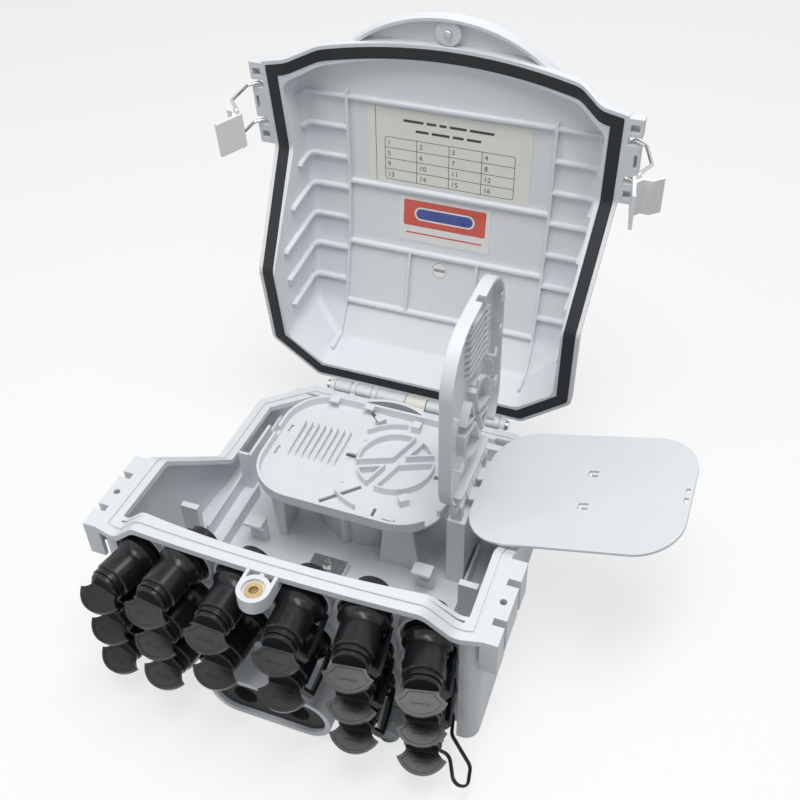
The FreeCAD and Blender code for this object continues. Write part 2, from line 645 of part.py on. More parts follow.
hooks = [hook("hook_left", "-74", f"{FRONT} + 100"), hook("hook_right", "66", f"{FRONT} + 99")]
plate_boss = box("plate_boss", ("-25", "5"), (f"{FRONT} + 82", f"{FRONT} + 98"), (FLOOR, "floor_top + 5"))
ejectors = [rod(f"ejector_{n}", "z", "6.2", (FLOOR, "floor_top + 0.5"), x, f"{FRONT} + 72")
            for n, x in enumerate(("-32", "32"))]

# Tower that carries the tray hinge.
EAR_Y = (("tray_y - 32", "tray_y - 26"), ("tray_y - 3.5", "tray_y + 3.5"), ("tray_y + 26", "tray_y + 32"))
tower_outer = box("tower_outer", (f"{PIN_X} - 6", f"{PIN_X} + 8"), ("tray_y - 34", "tray_y + 34"),
                  (FLOOR, f"{PIN_Z} - 12.5"))
tower_space = box("tower_space", (f"{PIN_X} - 3.4", f"{PIN_X} + 5.4"), ("tray_y - 31.4", "tray_y + 31.4"),
                  (FLOOR, f"{PIN_Z} - 15"))
tower = [cut("tower_box", tower_outer, tower_space)]
for number, span in enumerate(EAR_Y):
    tower.append(rod(f"ear_{number}", "y", "pin_r + 2.5", span, PIN_X, z=PIN_Z))
    tower.append(box(f"ear_web_{number}", (f"{PIN_X} - 4", f"{PIN_X} + 4.5"), span,
                     (f"{PIN_Z} - 13", PIN_Z)))
ear_bore = rod("ear_bore", "y", "pin_r", ("tray_y - 40", "tray_y + 40"), PIN_X, z=PIN_Z)
PEG_X = "-8"
pegs = []
for number, y in enumerate(("tray_y - 24", "tray_y + 24")):
    pegs.append(rod(f"peg_post_{number}", "z", "4", (FLOOR, "tray_z - 3"), PEG_X, y))
    pegs.append(rod(f"peg_{number}", "z", "1.5", ("tray_z - 4", "tray_z + 2.6"), PEG_X, y))
peg_arm = box("peg_arm", ("-9.5", "-6.5"), ("tray_y - 24", "tray_y - 21"), (FLOOR, "tray_z - 3"))

back_bores = [rod(f"back_bore_{n}", "z", "bolt_r + 1.5", ("-1", "12"), f"{sx}bolt_x / 2", f"{sy}bolt_y / 2")
              for n, (sx, sy) in enumerate(BOLTS)]
tub = cut("tub", shell, panel_zone)
base_solid = fuse("base_solid", [tub, rim_band, rear_ledge] + both(block) + boss_parts)
base_housing = cut("base_housing", base_solid, groove, boss_bore, boss_sink, spout_hole, *gland_holes,
                   *both(gland_space), *ledge_slot)
# Each rib is a plain solid of its own between its neighbours, so that its collision leaves the back open.
rib_room = common("rib_room", shell_block, back_hollow)
cross_bars = cut("cross_bars", fuse("cross_bars_full", cross_ribs), *long_ribs)
boss_tubes = cut("boss_tubes", fuse("boss_rods", back_bosses), *back_bores)
back_ribs = placed("back_ribs", [
    common("long_rib_parts", rib_room, fuse("long_bars", long_ribs)),
    common("cross_rib_parts", rib_room, cross_bars), common("boss_parts", rib_room, boss_tubes)])
hinge_knuckles = cut("hinge_knuckles", fuse("knuckles", knuckles), *pin_bore, tub, rim_band)
panel_wall = common("panel_wall", shell, panel_zone)
panel_clear = fuse("panel_clear", [tub, rim_band])
port_panel = cut("port_panel", fuse("panel_solid", [panel_wall, cut("panel_trim", fuse(
    "panel_trim_solid", [collars, spout]), panel_clear)]), port_holes, spout_hole, *gland_holes)
splice_drum = fuse("splice_drum", [drum, left_fin, right_fin, peg_arm] + fin_ribs + pegs)
tray_tower = cut("tray_tower", fuse("tower_solid", tower), ear_bore)
floor_fittings = fuse("floor_fittings", [plate_boss] + furniture + hooks + ejectors)

# Threaded inserts.
back_inserts = placed("back_inserts", [
    cut(f"back_insert_{n}", rod(f"back_insert_out_{n}", "z", "bolt_r + 1.5", ("0", "12"), f"{sx}bolt_x / 2",
                                f"{sy}bolt_y / 2"),
        rod(f"back_insert_in_{n}", "z", "bolt_r", ("-1", "13"), f"{sx}bolt_x / 2", f"{sy}bolt_y / 2"))
    for n, (sx, sy) in enumerate(BOLTS)])
lid_insert = placed("lid_insert", turned("insert_body", [
    ("3.1", "-7.7"), ("4.6", "-7.7"), ("4.6", "0"), ("6", "0"), ("6", "1"), ("3.1", "1")]),
    Place(V(0, val(BOSS_Y), val(PEAK_Z) - 2.8), Turn()))

# Lid, modelled closed.
lid_outer = rim_column("lid_outer", "lid_over")


def lid_walls(name, inset):
    """Smooth outline of the lid walls, moved inward from the inner edge of the lid flange."""
    return sketch(name, "xy", [flipped([
        (f"{HALF} - rim_width - ({inset})", f"{FRONT} + rim_width + ({inset})", 9),
        (f"{HALF} - rear_in - rim_width - ({inset})", f"{CUT_Y} - 5 - ({inset}) / 2", 14),
        (f"{HALF} - corner_in - 5 - ({inset}) / 2", f"{REAR} - rim_width - ({inset})", 14)])
        + [("0", f"{FRONT} + rim_width - 2 * rim_bow + ({inset})", 430)]], "25")


def dome(name, plan, lower, round_by):
    """Solid under the lid ceiling, lowered by a distance, over a plan; its upper edges are rounded."""
    ahead = f"{CEILING_A} + 70 * ({CEILING_A} - {CEILING_B}) / bend_b"
    roof = prism(name + "_roof", "yz", [[
        (f"{FRONT} - 70", "20"), (f"{FRONT} - 70", f"{ahead} - ({lower})"),
        (f"{FRONT} + bend_b", f"{CEILING_B} - ({lower})", 60),
        (f"{FRONT} + bend_c", f"{CEILING_C} - ({lower})", 60),
        (f"{FRONT} + bend_d", f"{CEILING_D} - ({lower})", 20),
        (f"{REAR} - 4", f"{CEILING_E} - ({lower})"), (f"{REAR} + 30", f"{CEILING_E} - ({lower})"),
        (f"{REAR} + 30", "20")]], f"-{HALF} - 30", f"{HALF} + 30")
    block = common(name + "_block", extrude(name + "_column", plan, "xy", "180"), roof)
    doc.recompute()
    edge_list = []
    for number, edge in enumerate(block.Shape.Edges, 1):
        tilts = [abs(f.normalAt(0, 0).z) for f in block.Shape.ancestorsOfType(edge, Part.Face)]
        if min(tilts) < 0.01 and 0.3 < max(tilts) and edge.CenterOfMass.z > 60:
            edge_list.append((number, val(round_by), val(round_by)))
    soft = doc.addObject("Part::Fillet", name)
    soft.Base = block
    soft.Edges = edge_list
    return soft


lid_outside = dome("lid_outside", lid_walls("lid_outside_plan", "-lid_wall"), "-lid_wall", "ceiling_round")
lid_inside = dome("lid_inside", lid_walls("lid_inside_plan", "0"), "0", "ceiling_round - lid_wall")
lid_core = dome("lid_core", lid_walls("lid_core_plan", "rib_high"), "rib_high",
                "ceiling_round - lid_wall - rib_high")
lid_flange = common("lid_flange", lid_outer, under_flange)

NOSE = [("-nose_half", f"{FRONT} - 2"), ("0", f"{FRONT} - nose_lead", "nose_half", f"{FRONT} - 2")]
nose_plan = sketch("nose_plan", "xy", [NOSE])
nose = extrude("nose", nose_plan, "xy", "10.5", f"{PEAK_Z} + 0.8")
nose_inner = offset("nose_space_plan", nose_plan, "-2.6")
nose_space = cut("nose_space", extrude("nose_hollow", nose_inner, "xy", "8", f"{PEAK_Z} - 0.2"),
                 rim_column("nose_keep", "lid_over"))
nose_boss = rod("nose_boss", "z", "10", (f"{PEAK_Z} + 2.7", f"{PEAK_Z} + 11.3"), y=BOSS_Y)
screw_bore = rod("screw_bore", "z", "3.08", (f"{PEAK_Z} - 2", f"{PEAK_Z} + 20"), y=BOSS_Y)

# Latch carrier on the right: gaps for the bail legs, pivot holes, two pockets and a slot.
carrier = box("carrier", (f"{HALF} - 8", f"{HALF} + 13.5"), (f"{FRONT} - 0.5", f"{FRONT} + block_long + 1"),
              ("rim_high + lip_gap", "rim_high + 8.2"))
carrier_cuts = []
for number, (leg, way) in enumerate(((LEG_1, 1), (LEG_2, -1))):
    carrier_cuts.append(box(f"carrier_gap_{number}", (f"{BAIL_X} - 3.4", f"{HALF} + 20"),
                            (f"{leg} - 3.4", f"{leg} + 3.4"),
                            ("rim_high - 1", "rim_high + 12")))
    ends = (f"{leg} - 8", f"{leg} - 3") if way < 0 else (f"{leg} + 3", f"{leg} + 8")
    carrier_cuts.append(rod(f"carrier_bore_{number}", "y", "bail_r + 0.08", ends, BAIL_X, z=BAIL_Z))
for number, y in enumerate((f"{FRONT} + 7.5", f"{FRONT} + 63")):
    carrier_cuts.append(box(f"carrier_pocket_{number}", (f"{HALF} + 4.5", f"{HALF} + 11"),
                            (f"{y} - 3.2", f"{y} + 3.2"),
                            ("rim_high", "rim_high + 6")))
carrier_cuts.append(box("carrier_slot", (f"{HALF} + 9.4", f"{HALF} + 11.6"),
                        (f"{LEG_1} + leg_span / 2 - 5.5", f"{LEG_1} + leg_span / 2 + 5.5"),
                        ("rim_high", "rim_high + 6")))
carrier_right = cut("carrier_right", carrier, *carrier_cuts)

# Hinge barrels between the base knuckles.
barrels = []
for number, (a, b) in enumerate((("10", "36.1"), ("41.9", "55.6"), ("61.4", "75.6"))):
    barrels += both(rod(f"barrel_{number}", "x", "hinge_r", (a, b), y=HINGE_Y, z=HINGE_Z))
    barrels += both(box(f"barrel_web_{number}", (a, b), (f"{REAR} - 0.3", f"{HINGE_Y} + 1"),
                        ("rim_low + lip_gap", f"{HINGE_Z} + hinge_r")))
barrel_bore = both(rod("barrel_bore", "x", "hinge_pin_r + 0.08", ("8", "80"), y=HINGE_Y, z=HINGE_Z))

# Ribs: slabs kept only within a band under the ceiling and along the walls.
rib_band = cut("rib_band", lid_inside, lid_core)
WIDE = (f"-{HALF}", HALF)
mid_slabs = [box(f"mid_slab_{n}", ("-rib_x", "rib_x"), (f"{y} - rib_thick / 2", f"{y} + rib_thick / 2"),
                 ("60", "170"))
             for n, y in enumerate((f"{FRONT} + 109", f"{FRONT} + 163", f"{FRONT} + 215"))]
mid_slabs.append(box("front_slab", WIDE, (f"{FRONT} + 35 - rib_thick / 2", f"{FRONT} + 35 + rib_thick / 2"),
                     ("60", "170")))
mid_slabs += both(box("long_slab", ("rib_x - rib_thick / 2", "rib_x + rib_thick / 2"),
                      (f"{FRONT} - 10", f"{REAR} - 6"),
                      ("60", "170")))
mid_slabs += both(box("short_slab", ("30 - rib_thick / 2", "30 + rib_thick / 2"),
                      (f"{FRONT} + 163", f"{FRONT} + 215"),
                      ("60", "170")))
for number in range(6):
    y = f"{FRONT} + {62 + 27 * number}"
    mid_slabs += both(box(f"side_slab_{number}", ("rib_x", HALF),
                          (f"{y} - rib_thick / 2", f"{y} + rib_thick / 2"), ("60", "170")))
lid_ribs = cut("lid_ribs", common("rib_cross", rib_band, fuse("rib_slabs", mid_slabs)),
               under_by("under_ribs", "18"))

lid_solid = fuse("lid_solid", [lid_outside, lid_flange, nose] + both(carrier_right))
channel_ring = cut("channel_ring", rim_column("channel_outer", "-gasket_in + 0.2"),
                   rim_column("channel_inner", "-gasket_in - gasket_wide - 0.2"))
gasket_channel = common("gasket_channel", channel_ring, under_by("under_channel", "4.2"))
lid_hollow = cut("lid_hollow", lid_solid, lid_inside, under_lip, nose_space, gasket_channel)
lid_closed = cut("lid_closed", fuse("lid_full", [lid_hollow, lid_ribs, nose_boss] + barrels), screw_bore,
                 *barrel_bore)
lid_cover = placed("lid_cover", lid_closed, LID_OPEN)

gasket_closed = common("gasket_closed", cut("gasket_ring", rim_column("gasket_outer", "-gasket_in"),
                                            rim_column("gasket_inner", "-gasket_in - gasket_wide")),
                       cut("gasket_skin", under_by("under_gasket_top", "4.2"),
                           under_by("under_gasket", "0.3")))
lid_gasket = placed("lid_gasket", gasket_closed, LID_OPEN)

# Lid hinge pins and the block between them.
pin_right = fuse("pin_right", [
    rod("hinge_pin", "x", "hinge_pin_r", ("3", "82"), y=HINGE_Y, z=HINGE_Z),
    rod("hinge_pin_head", "x", "hinge_pin_r + 1.6", ("81.2", "83.6"), y=HINGE_Y, z=HINGE_Z)])
hinge_pins = placed("hinge_pins", both(pin_right))
hinge_block = cut("hinge_block", fuse("hinge_block_solid", [
    box("hinge_block_box", ("-9.2", "9.2"), (REAR, f"{HINGE_Y} + 6"), (f"{HINGE_Z} - 7", "rim_low - 0.6")),
    rod("hinge_block_round", "x", "6", ("-9.2", "9.2"), y=HINGE_Y, z=HINGE_Z)]),
    rod("hinge_block_bore", "x", "hinge_pin_r", ("-10", "10"), y=HINGE_Y, z=HINGE_Z))

screw_body = turned("screw_body", [
    ("0", "0.4"), ("2.4", "0.4"), ("3", "1"), ("3", "11.5"), ("6.2", "11.5"), ("6.2", "14.6"),
    ("5.2", "15.6"), ("0", "15.6")])
screw_slot = screw_body.newObject("PartDesign::Pocket", "screw_slot")
screw_slot.Profile = body_sketch(screw_body, "screw_cross", "XY_Plane", [
    [("-0.8", "-4"), ("0.8", "-4"), ("0.8", "-0.8"), ("4", "-0.8"), ("4", "0.8"), ("0.8", "0.8"),
     ("0.8", "4"), ("-0.8", "4"), ("-0.8", "0.8"), ("-4", "0.8"), ("-4", "-0.8"), ("-0.8", "-0.8")]],
    Place(V(0, 0, 15.6), Turn()))
screw_slot.Length = 2
captive_screw = placed("captive_screw", screw_body,
                       LID_OPEN * Place(V(0, val(BOSS_Y), val(PEAK_Z)), Turn()))


# Bent-wire bails and their levers, modelled on the right of the closed lid.
def rounded_path(points, r):
    """Wire along straight lines with a tangent arc at every corner."""
    edges = []
    last = points[0]
    for before, corner, after in zip(points, points[1:], points[2:]):
        a = (before - corner).normalize()
        b = (after - corner).normalize()
        half = a.getAngle(b) / 2
        enter = corner + a * (r / math.tan(half))
        leave = corner + b * (r / math.tan(half))
        middle = corner + (a + b).normalize() * (r / math.sin(half) - r)
        edges.append(Part.makeLine(last, enter))
        edges.append(Part.Arc(enter, middle, leave).toShape())
        last = leave
    edges.append(Part.makeLine(last, points[-1]))
    return Part.Wire(edges)


BAIL_TURNS = ((0, 0), (7.6, -9.2), (7.9, -32.2), (-3.5, -43.7))


def bail_spine():
    x, z = val(BAIL_X), val(BAIL_Z)
    y1, y2 = val(LEG_1), val(LEG_2)
    front = [V(x + dx, y1, z + dz) for dx, dz in BAIL_TURNS]
    back = [V(x + dx, y2, z + dz) for dx, dz in reversed(BAIL_TURNS)]
    return rounded_path([V(x, y1 + 7, z)] + front + back + [V(x, y2 - 7, z)], 2.6)


def swept(name, path, r, start, wide=None):
    """Wire along a path that starts in a placement's Z direction: round, or oval and wider along X."""
    spine = doc.addObject("Part::Feature", name + "_spine")
    spine.Shape = path
    ring = doc.addObject("Part::Ellipse" if wide else "Part::Circle", name + "_ring")
    if wide:
        bind(ring, "MajorRadius", wide)
    bind(ring, "MinorRadius" if wide else "Radius", r)
    ring.Placement = start
    sweep = doc.addObject("Part::Sweep", name)
    sweep.Sections = [ring]
    sweep.Spine = (spine, ["Edge%d" % (n + 1) for n in range(len(path.Edges))])
    sweep.Solid = True
    sweep.Frenet = False
    return sweep


bail = swept("bail", bail_spine(), "bail_r",
             Place(V(val(BAIL_X), val(LEG_1) + 7, val(BAIL_Z)), Turn(V(1, 0, 0), 90)))

PIVOT_X = f"({BAIL_X} - 3.5)"
PIVOT_Z = f"({BAIL_Z} - 43.7)"
lever_span = (f"{LEG_1} + leg_span / 2 - lever_long / 2", f"{LEG_1} + leg_span / 2 + lever_long / 2")
lever_plate = prism("lever_plate", "xz", [[(f"{PIVOT_X} + {x}", f"{PIVOT_Z} + {z}") for x, z in (
    (-9.9, -18.8), (-7.6, -19.8), (-5.2, -12.5), (-2.2, -5), (3.6, -3), (9, -6.4), (18, -5), (18.4, -2.6),
    (9.4, -3.8), (3.4, 1.5), (-2.5, 2), (-7.4, -11.6))]], *lever_span)
lever_barrel = rod("lever_barrel", "y", "3.3", lever_span, PIVOT_X, z=PIVOT_Z)
lever = cut("lever", fuse("lever_solid", [lever_plate, lever_barrel]),
            rod("lever_bore", "y", "bail_r + 0.08", (f"{LEG_1} - 2", f"{LEG_2} + 2"), PIVOT_X, z=PIVOT_Z))


def latch(side, swing, tilt):
    """Bail and lever of one side, swung outward from the latched position by angles in degrees."""
    axis = V(0, -1, 0) * side
    hang = Place(V(), Turn(axis, swing), V(side * val(BAIL_X), 0, val(BAIL_Z)))
    tip = Place(V(), Turn(axis, tilt), V(side * val(PIVOT_X), 0, val(PIVOT_Z)))
    word = "right" if side > 0 else "left"
    wire = bail if side > 0 else mirrored("bail_left", bail)
    grip = lever if side > 0 else mirrored("lever_left", lever)
    return (placed(word + "_latch_bail", wire, LID_OPEN * hang),
            placed(word + "_latch_lever", grip, LID_OPEN * hang * tip))


right_bail, right_lever = latch(1, 20, 10)
left_bail, left_lever = latch(-1, 4, 46)


# Splice tray, modelled about its own middle with its underside at height zero.
def tray_loop(inset):
    x, y = f"tray_width / 2 - {inset}", f"tray_depth / 2 - {inset}"
    r = f"tray_round - {inset}"
    return [(f"-({x})", f"-({y})", r), (x, f"-({y})", r), (x, y, r), (f"-({x})", y, r)]


HUB = (25, 4)
HUB_XY = [str(c) for c in HUB]
tray_floor = prism("tray_floor", "xy", [tray_loop(0)], "0", "2")
tray_rim = cut("tray_rim", prism("tray_rim_out", "xy", [tray_loop(0)], "0", "tray_high"),
               prism("tray_rim_in", "xy", [tray_loop(2.2)], "-1", "tray_high + 1"))


def hub_sectors(name, r, channel, height):
    """Disc parted into four sectors by two crossing channels."""
    disc = rod(name + "_disc", "z", r, ("1", height), *HUB_XY)
    bars = []
    for number, angle in enumerate((23, 71)):
        bar = box(f"{name}_bar_{number}", ("-50", "50"), (f"-{channel} / 2", f"{channel} / 2"), ("0", "20"))
        bars.append(placed(f"{name}_channel_{number}", bar,
                           Place(V(HUB[0], HUB[1], 0), Turn(V(0, 0, 1), angle))))
    return cut(name, disc, *bars)


hub_walls = cut("hub_walls", hub_sectors("hub_full", "hub_r", "7", "tray_high - 0.6"),
                hub_sectors("hub_space", "hub_r - 1.5", "10", "tray_high + 2"))


def guide(name, r, x, y):
    """Curved fibre guide: the stretch of a ring round the hub that lies in a window."""
    ring = cut(name + "_ring", rod(name + "_outer", "z", f"{r} + 1.5", ("1", "tray_high - 1.5"), *HUB_XY),
               rod(name + "_inner", "z", r, ("0", "tray_high + 1"), *HUB_XY))
    return common(name, ring, box(name + "_window", x, y, ("0", "20")))


def clip(name, x, y, turn, long):
    """Fibre clip: a lip at rim height over a slit through the tray floor, turned about its middle."""
    at = Place(V(x, y, 0), Turn(V(0, 0, 1), turn))
    lip = box(name + "_lip", ("-3.5", "3.5"), ("-2", "5"), ("tray_high - 1.4", "tray_high"))
    foot = box(name + "_foot", ("-3.5", "3.5"), ("3.6", "5"), ("1", "tray_high"))
    gap = box(name + "_gap", ("-1.6", "1.6"), (f"{-long}", "2"), ("-1", "3"))
    return [placed(name, lip, at), placed(name + "_stand", foot, at)], placed(name + "_slit", gap, at)


guides = [guide("guide_rear", "hub_r + 11", ("-20", "20"), ("30", "60")),
          guide("guide_front", "hub_r + 22", ("-8", "12"), ("-56", "-34"))]
COMB_PITCH = 5.5
comb = []
for number in range(8):
    x = -59 + COMB_PITCH * number
    comb.append(prism(f"comb_{number}", "yz", [[("-13", "1.5"), ("24", "1.5"), ("23.2", "tray_high - 0.8"),
                                                ("18", "tray_high - 2.2"), ("-9", "tray_high - 3.4")]],
                      f"{x - 0.9}", f"{x + 0.9}"))
clips = []
slits = []
for number, (x, y, turn, long) in enumerate(((-4, 45, -132, 14), (43, -29, -140, 6), (-10, 3.8, -90, 6),
                                            (27, 48, 176, 7))):
    lips, slit = clip(f"clip_{number}", x, y, turn, long)
    clips += lips
    slits.append(slit)
TRAY_REAR = "(tray_depth / 2)"
tray_tabs = [box("tab_rear_a", ("-50", "-42"), (f"{TRAY_REAR} - 8", f"{TRAY_REAR} - 1"),
                 ("tray_high - 1.4", "tray_high")),
             box("tab_rear_b", ("-20", "-12"), (f"{TRAY_REAR} - 7", f"{TRAY_REAR} - 1"),
                 ("tray_high - 1.4", "tray_high")),
             box("tab_front", ("36", "45"), (f"4 - {TRAY_REAR}", f"7 - {TRAY_REAR}"),
                 ("1", "tray_high - 1"))]
long_slit = placed("long_slit", box("long_slit_gap", ("-17", "17"), ("-1.7", "1.7"), ("-1", "3")),
                   Place(V(-4, -36.5, 0), Turn(V(0, 0, 1), 44)))
slots = slits + [
    long_slit,
    box("slot_front", ("25", "27.4"), ("-49", "-41"), ("-1", "3")),
    box("slot_right", ("56.5", "64"), ("1", "5"), ("-1", "3")),
    box("slot_left_a", ("-70", "-67.8"), ("-14", "-5"), ("-1", "3")),
    box("slot_left_b", ("-70", "-67.8"), ("12", "20"), ("-1", "3")),
    rod("tray_hole_a", "z", "1.6", ("-1", "3"), PEG_X, "24"),
    rod("tray_hole_b", "z", "1.6", ("-1", "3"), PEG_X, "-24"),
    box("latch_notch", ("-80", "-72"), ("2", "9"), ("4", "12")),
    box("entry_front", ("60", "80"), ("-46", "-34"), ("2", "12")),
    box("entry_rear", ("60", "80"), ("34", "46"), ("2", "12"))]
tray_solid = fuse("tray_solid", [tray_floor, tray_rim, hub_walls] + guides + comb + clips + tray_tabs)
tray = cut("tray", tray_solid, *slots)
lower_splice_tray = placed("lower_splice_tray", tray, Place(V(0, val("tray_y"), val("tray_z")), Turn()))

# Upper tray and cover, modelled folded down on the tray hinge.
TRAY_EDGE = "(tray_width / 2)"
tray_arms = []
cover_arms = []
hinge_holes = []
for number, (a, b) in enumerate((("tray_y - 25.5", "tray_y - 18"), ("tray_y + 18", "tray_y + 25.5"))):
    tray_arms.append(rod(f"tray_knuckle_{number}", "y", "pin_r + 2", (a, b), PIN_X, z=PIN_Z))
    tray_arms.append(box(f"tray_arm_{number}", (f"{TRAY_EDGE} - 2", PIN_X), (a, b),
                         (STACK_Z, f"{PIN_Z} + 2")))
for number, (a, b) in enumerate((("tray_y - 17", "tray_y - 4"), ("tray_y + 4", "tray_y + 17"))):
    cover_arms.append(rod(f"cover_knuckle_{number}", "y", "pin_r + 2", (a, b), PIN_X, z=PIN_Z))
    cover_arms.append(box(f"cover_arm_{number}", (f"{PIN_X} - 4", f"{PIN_X} + 1"), (a, b),
                          (PIN_Z, f"{COVER_Z} + 2")))
    cover_arms.append(box(f"cover_tongue_{number}", (f"{TRAY_EDGE} - 3", f"{PIN_X} + 1"), (a, b),
                          (COVER_Z, f"{COVER_Z} + 2")))
tray_bore = rod("tray_bore", "y", "pin_r + 0.08", ("tray_y - 40", "tray_y + 40"), PIN_X, z=PIN_Z)
folded_tray = placed("folded_tray", tray)
for key, formula in (("y", "tray_y"), ("z", STACK_Z)):
    bind(folded_tray, "Placement.Base." + key, formula)
upper_folded = cut("upper_folded", fuse("upper_solid", [folded_tray] + tray_arms), tray_bore)
upper_splice_tray = placed("upper_splice_tray", upper_folded, TRAY_OPEN)



def edge_slot(y):
    """Slot for a finger near the free edge of the cover."""
    low, high = f"tray_y + {y} - 2.4", f"tray_y + {y} + 2.4"
    return [(f"5 - {TRAY_EDGE}", low), (f"2.2 - {TRAY_EDGE}", low), (f"2.2 - {TRAY_EDGE}", high),
            (f"5 - {TRAY_EDGE}", high)]


def tongue_slot(y):
    """U-shaped slot that frees a tongue in the cover."""
    mid = f"tray_y + {y}"
    return [("-8", f"{mid} - 3"), ("-1", f"{mid} - 3"), ("-1", f"{mid} + 3"), ("-8", f"{mid} + 3"),
            ("-8", f"{mid} + 1.4"), ("-3.4", f"{mid} + 1.4"), ("-3.4", f"{mid} - 1.4"),
            ("-8", f"{mid} - 1.4")]


COVER_LOW, COVER_HIGH = "tray_y - tray_depth / 2", "tray_y + tray_depth / 2"
cover_plate = prism("cover_plate", "xy", [
    [(f"-{TRAY_EDGE}", COVER_LOW, "tray_round - 4"), (TRAY_EDGE, COVER_LOW, "tray_round - 4"),
     (TRAY_EDGE, COVER_HIGH, "tray_round - 4"), (f"-{TRAY_EDGE}", COVER_HIGH, "tray_round - 4")],
    edge_slot(-4.5), edge_slot(4.5), tongue_slot(-16.5), tongue_slot(16.5)], COVER_Z, f"{COVER_Z} + 2")
cover_folded = cut("cover_folded", fuse("cover_solid", [cover_plate] + cover_arms), rod(
    "cover_bore", "y", "pin_r + 0.08", ("tray_y - 40", "tray_y + 40"), PIN_X, z=PIN_Z))
tray_cover = placed("tray_cover", cover_folded, COVER_OPEN)
tray_hinge_pin = fuse("tray_hinge_pin", [
    rod("tray_pin_rod", "y", "pin_r", ("tray_y - 32.5", "tray_y + 33"), PIN_X, z=PIN_Z),
    rod("tray_pin_head", "y", "pin_r + 1.3", ("tray_y - 34", "tray_y - 32"), PIN_X, z=PIN_Z)])

# Port hardware, modelled along Z from the outer face of the panel.
adapter = turned("adapter", [
    ("8.4", "30"), ("12", "30"), ("12", "5"), ("16.5", "5"), ("16.5", "1.5"), ("port_r", "1.5"),
    ("port_r", "-17"), ("8", "-17"), ("8", "-3"), ("4", "-3"), ("4", "8"), ("8.4", "8")])
seal = turned("seal", [("port_r + 0.2", "0.05"), ("16", "0.05"), ("16", "1.5"), ("port_r + 0.2", "1.5")])
nut_blank = doc.addObject("Part::Prism", "nut_blank")
nut_blank.Polygon = 12
bind(nut_blank, "Circumradius", "port_r + 3.8")
nut_blank.Height = 6
nut_blank.Placement.Base = V(0, 0, -10.6)
nut = cut("nut", nut_blank, rod("nut_bore", "z", "port_r", ("-12", "-2")))

cap = turned("cap", [
    ("0", "31"), ("12.5", "31"), ("12.5", "8"), ("skirt_r", "8"), ("skirt_r", "11.5"),
    ("skirt_r - 2.1", "14.2", "13.5", "19.5"), ("13.5", "35"), ("12.6", "36"), ("11.5", "36"),
    ("11.5", "37.4"), ("10", "37.4"), ("10", "40.6"), ("11.5", "40.6"), ("11.5", "cap_end - 0.8"),
    ("10.7", "cap_end"), ("0", "cap_end")])
TAB = [("-10", "-2"), ("-11.6", "1.5", "-tab_half", "5"), ("0", "15.5", "tab_half", "5"),
       ("11.6", "1.5", "10", "-2")]
FACE = [("-8.2", "0.6"), ("-11", "4.6", "-tab_half + 3.2", "6"), ("0", "13.6", "tab_half - 3.2", "6"),
        ("11", "4.6", "8.2", "0.6")]
droop = Turn(V(1, 0, 0), val("tab_droop"))
add_pad(cap, "cap_tab", body_sketch(cap, "cap_tab_outline", "XZ_Plane", [TAB],
                                    Place(V(0, val("cap_end"), 3), droop)), "4")
tab_face = cap.newObject("PartDesign::Pocket", "cap_tab_face")
tab_face.Profile = body_sketch(cap, "cap_tab_panel", "XZ_Plane", [FACE],
                               Place(V(0, val("cap_end"), 3), droop) * Place(V(0, 0, -2), Turn()))
tab_face.Length = 0.7
tab_face.Midplane = True

# Tether: a ring round the adapter, a ring in the neck of the cap and a strap between them.
tether_rings = []
for word, inner, outer, low, high in (("foot", "12.05", "15", "5.1", "7.2"),
                                      ("neck", "10.05", "12.6", "37.8", "40.2")):
    tether_rings.append(cut(f"tether_{word}", rod(f"tether_{word}_out", "z", outer, (low, high)),
                            rod(f"tether_{word}_in", "z", inner, (f"{low} - 1", f"{high} + 1"))))


def tether_part(name, start, via, end):
    """Strap that leaves the foot ring at one radius, bows out to another and ends at the neck ring."""
    strap = prism(name + "_strap", "xz", [[
        ("13.5", "5.1"), (f"{start}", "5.1"), (f"{via}", "24", f"{end}", "40.2"), ("11.6", "40.2"),
        ("11.6", "38"), (f"{end - 2.2}", "38"), (f"{via - 2.2}", "24", f"{start - 2.2}", "7.2"),
        ("13.5", "7.2")]], "-3", "3")
    return fuse(name, tether_rings + [strap])


tether = tether_part("tether", 20.4, 21, 20.4)
LOOP = [V(x, 0, z) for x, z in ((14, 6.15), (21.5, 6.15), (21.5, 24), (39, 40), (38, 55), (27, 58),
                                (21.5, 39), (11.4, 39))]
loop_start = Place(LOOP[0], Turn(V(0, 1, 0), 90)) * Place(V(), Turn(V(0, 0, 1), 90))
tether_loop = fuse("tether_loop", tether_rings + [
    swept("loop_strap", rounded_path(LOOP, 6), "1", loop_start, wide="1.7")])

adapters = []
caps = []
nuts = []
seals = []
tethers = []
for number, (x, z) in enumerate(PORTS, 1):
    at = on_panel(x, z)
    adapters.append(placed(f"adapter_{number:02d}", adapter, at))
    caps.append(placed(f"dust_cap_{number:02d}", cap, at))
    nuts.append(placed(f"nut_{number:02d}", nut, at))
    seals.append(placed(f"seal_{number:02d}", seal, at))
    strap = tether_loop if number == len(PORTS) else tether
    tethers.append(placed(f"tether_{number:02d}", strap,
                          at * Place(V(), Turn(V(0, 0, 1), -35 if x > 0 else 215))))
port_adapters = placed("port_adapters", adapters)
adapter_nuts = placed("adapter_nuts", nuts)
adapter_seals = placed("adapter_seals", seals)
cap_tethers = placed("cap_tethers", tethers)

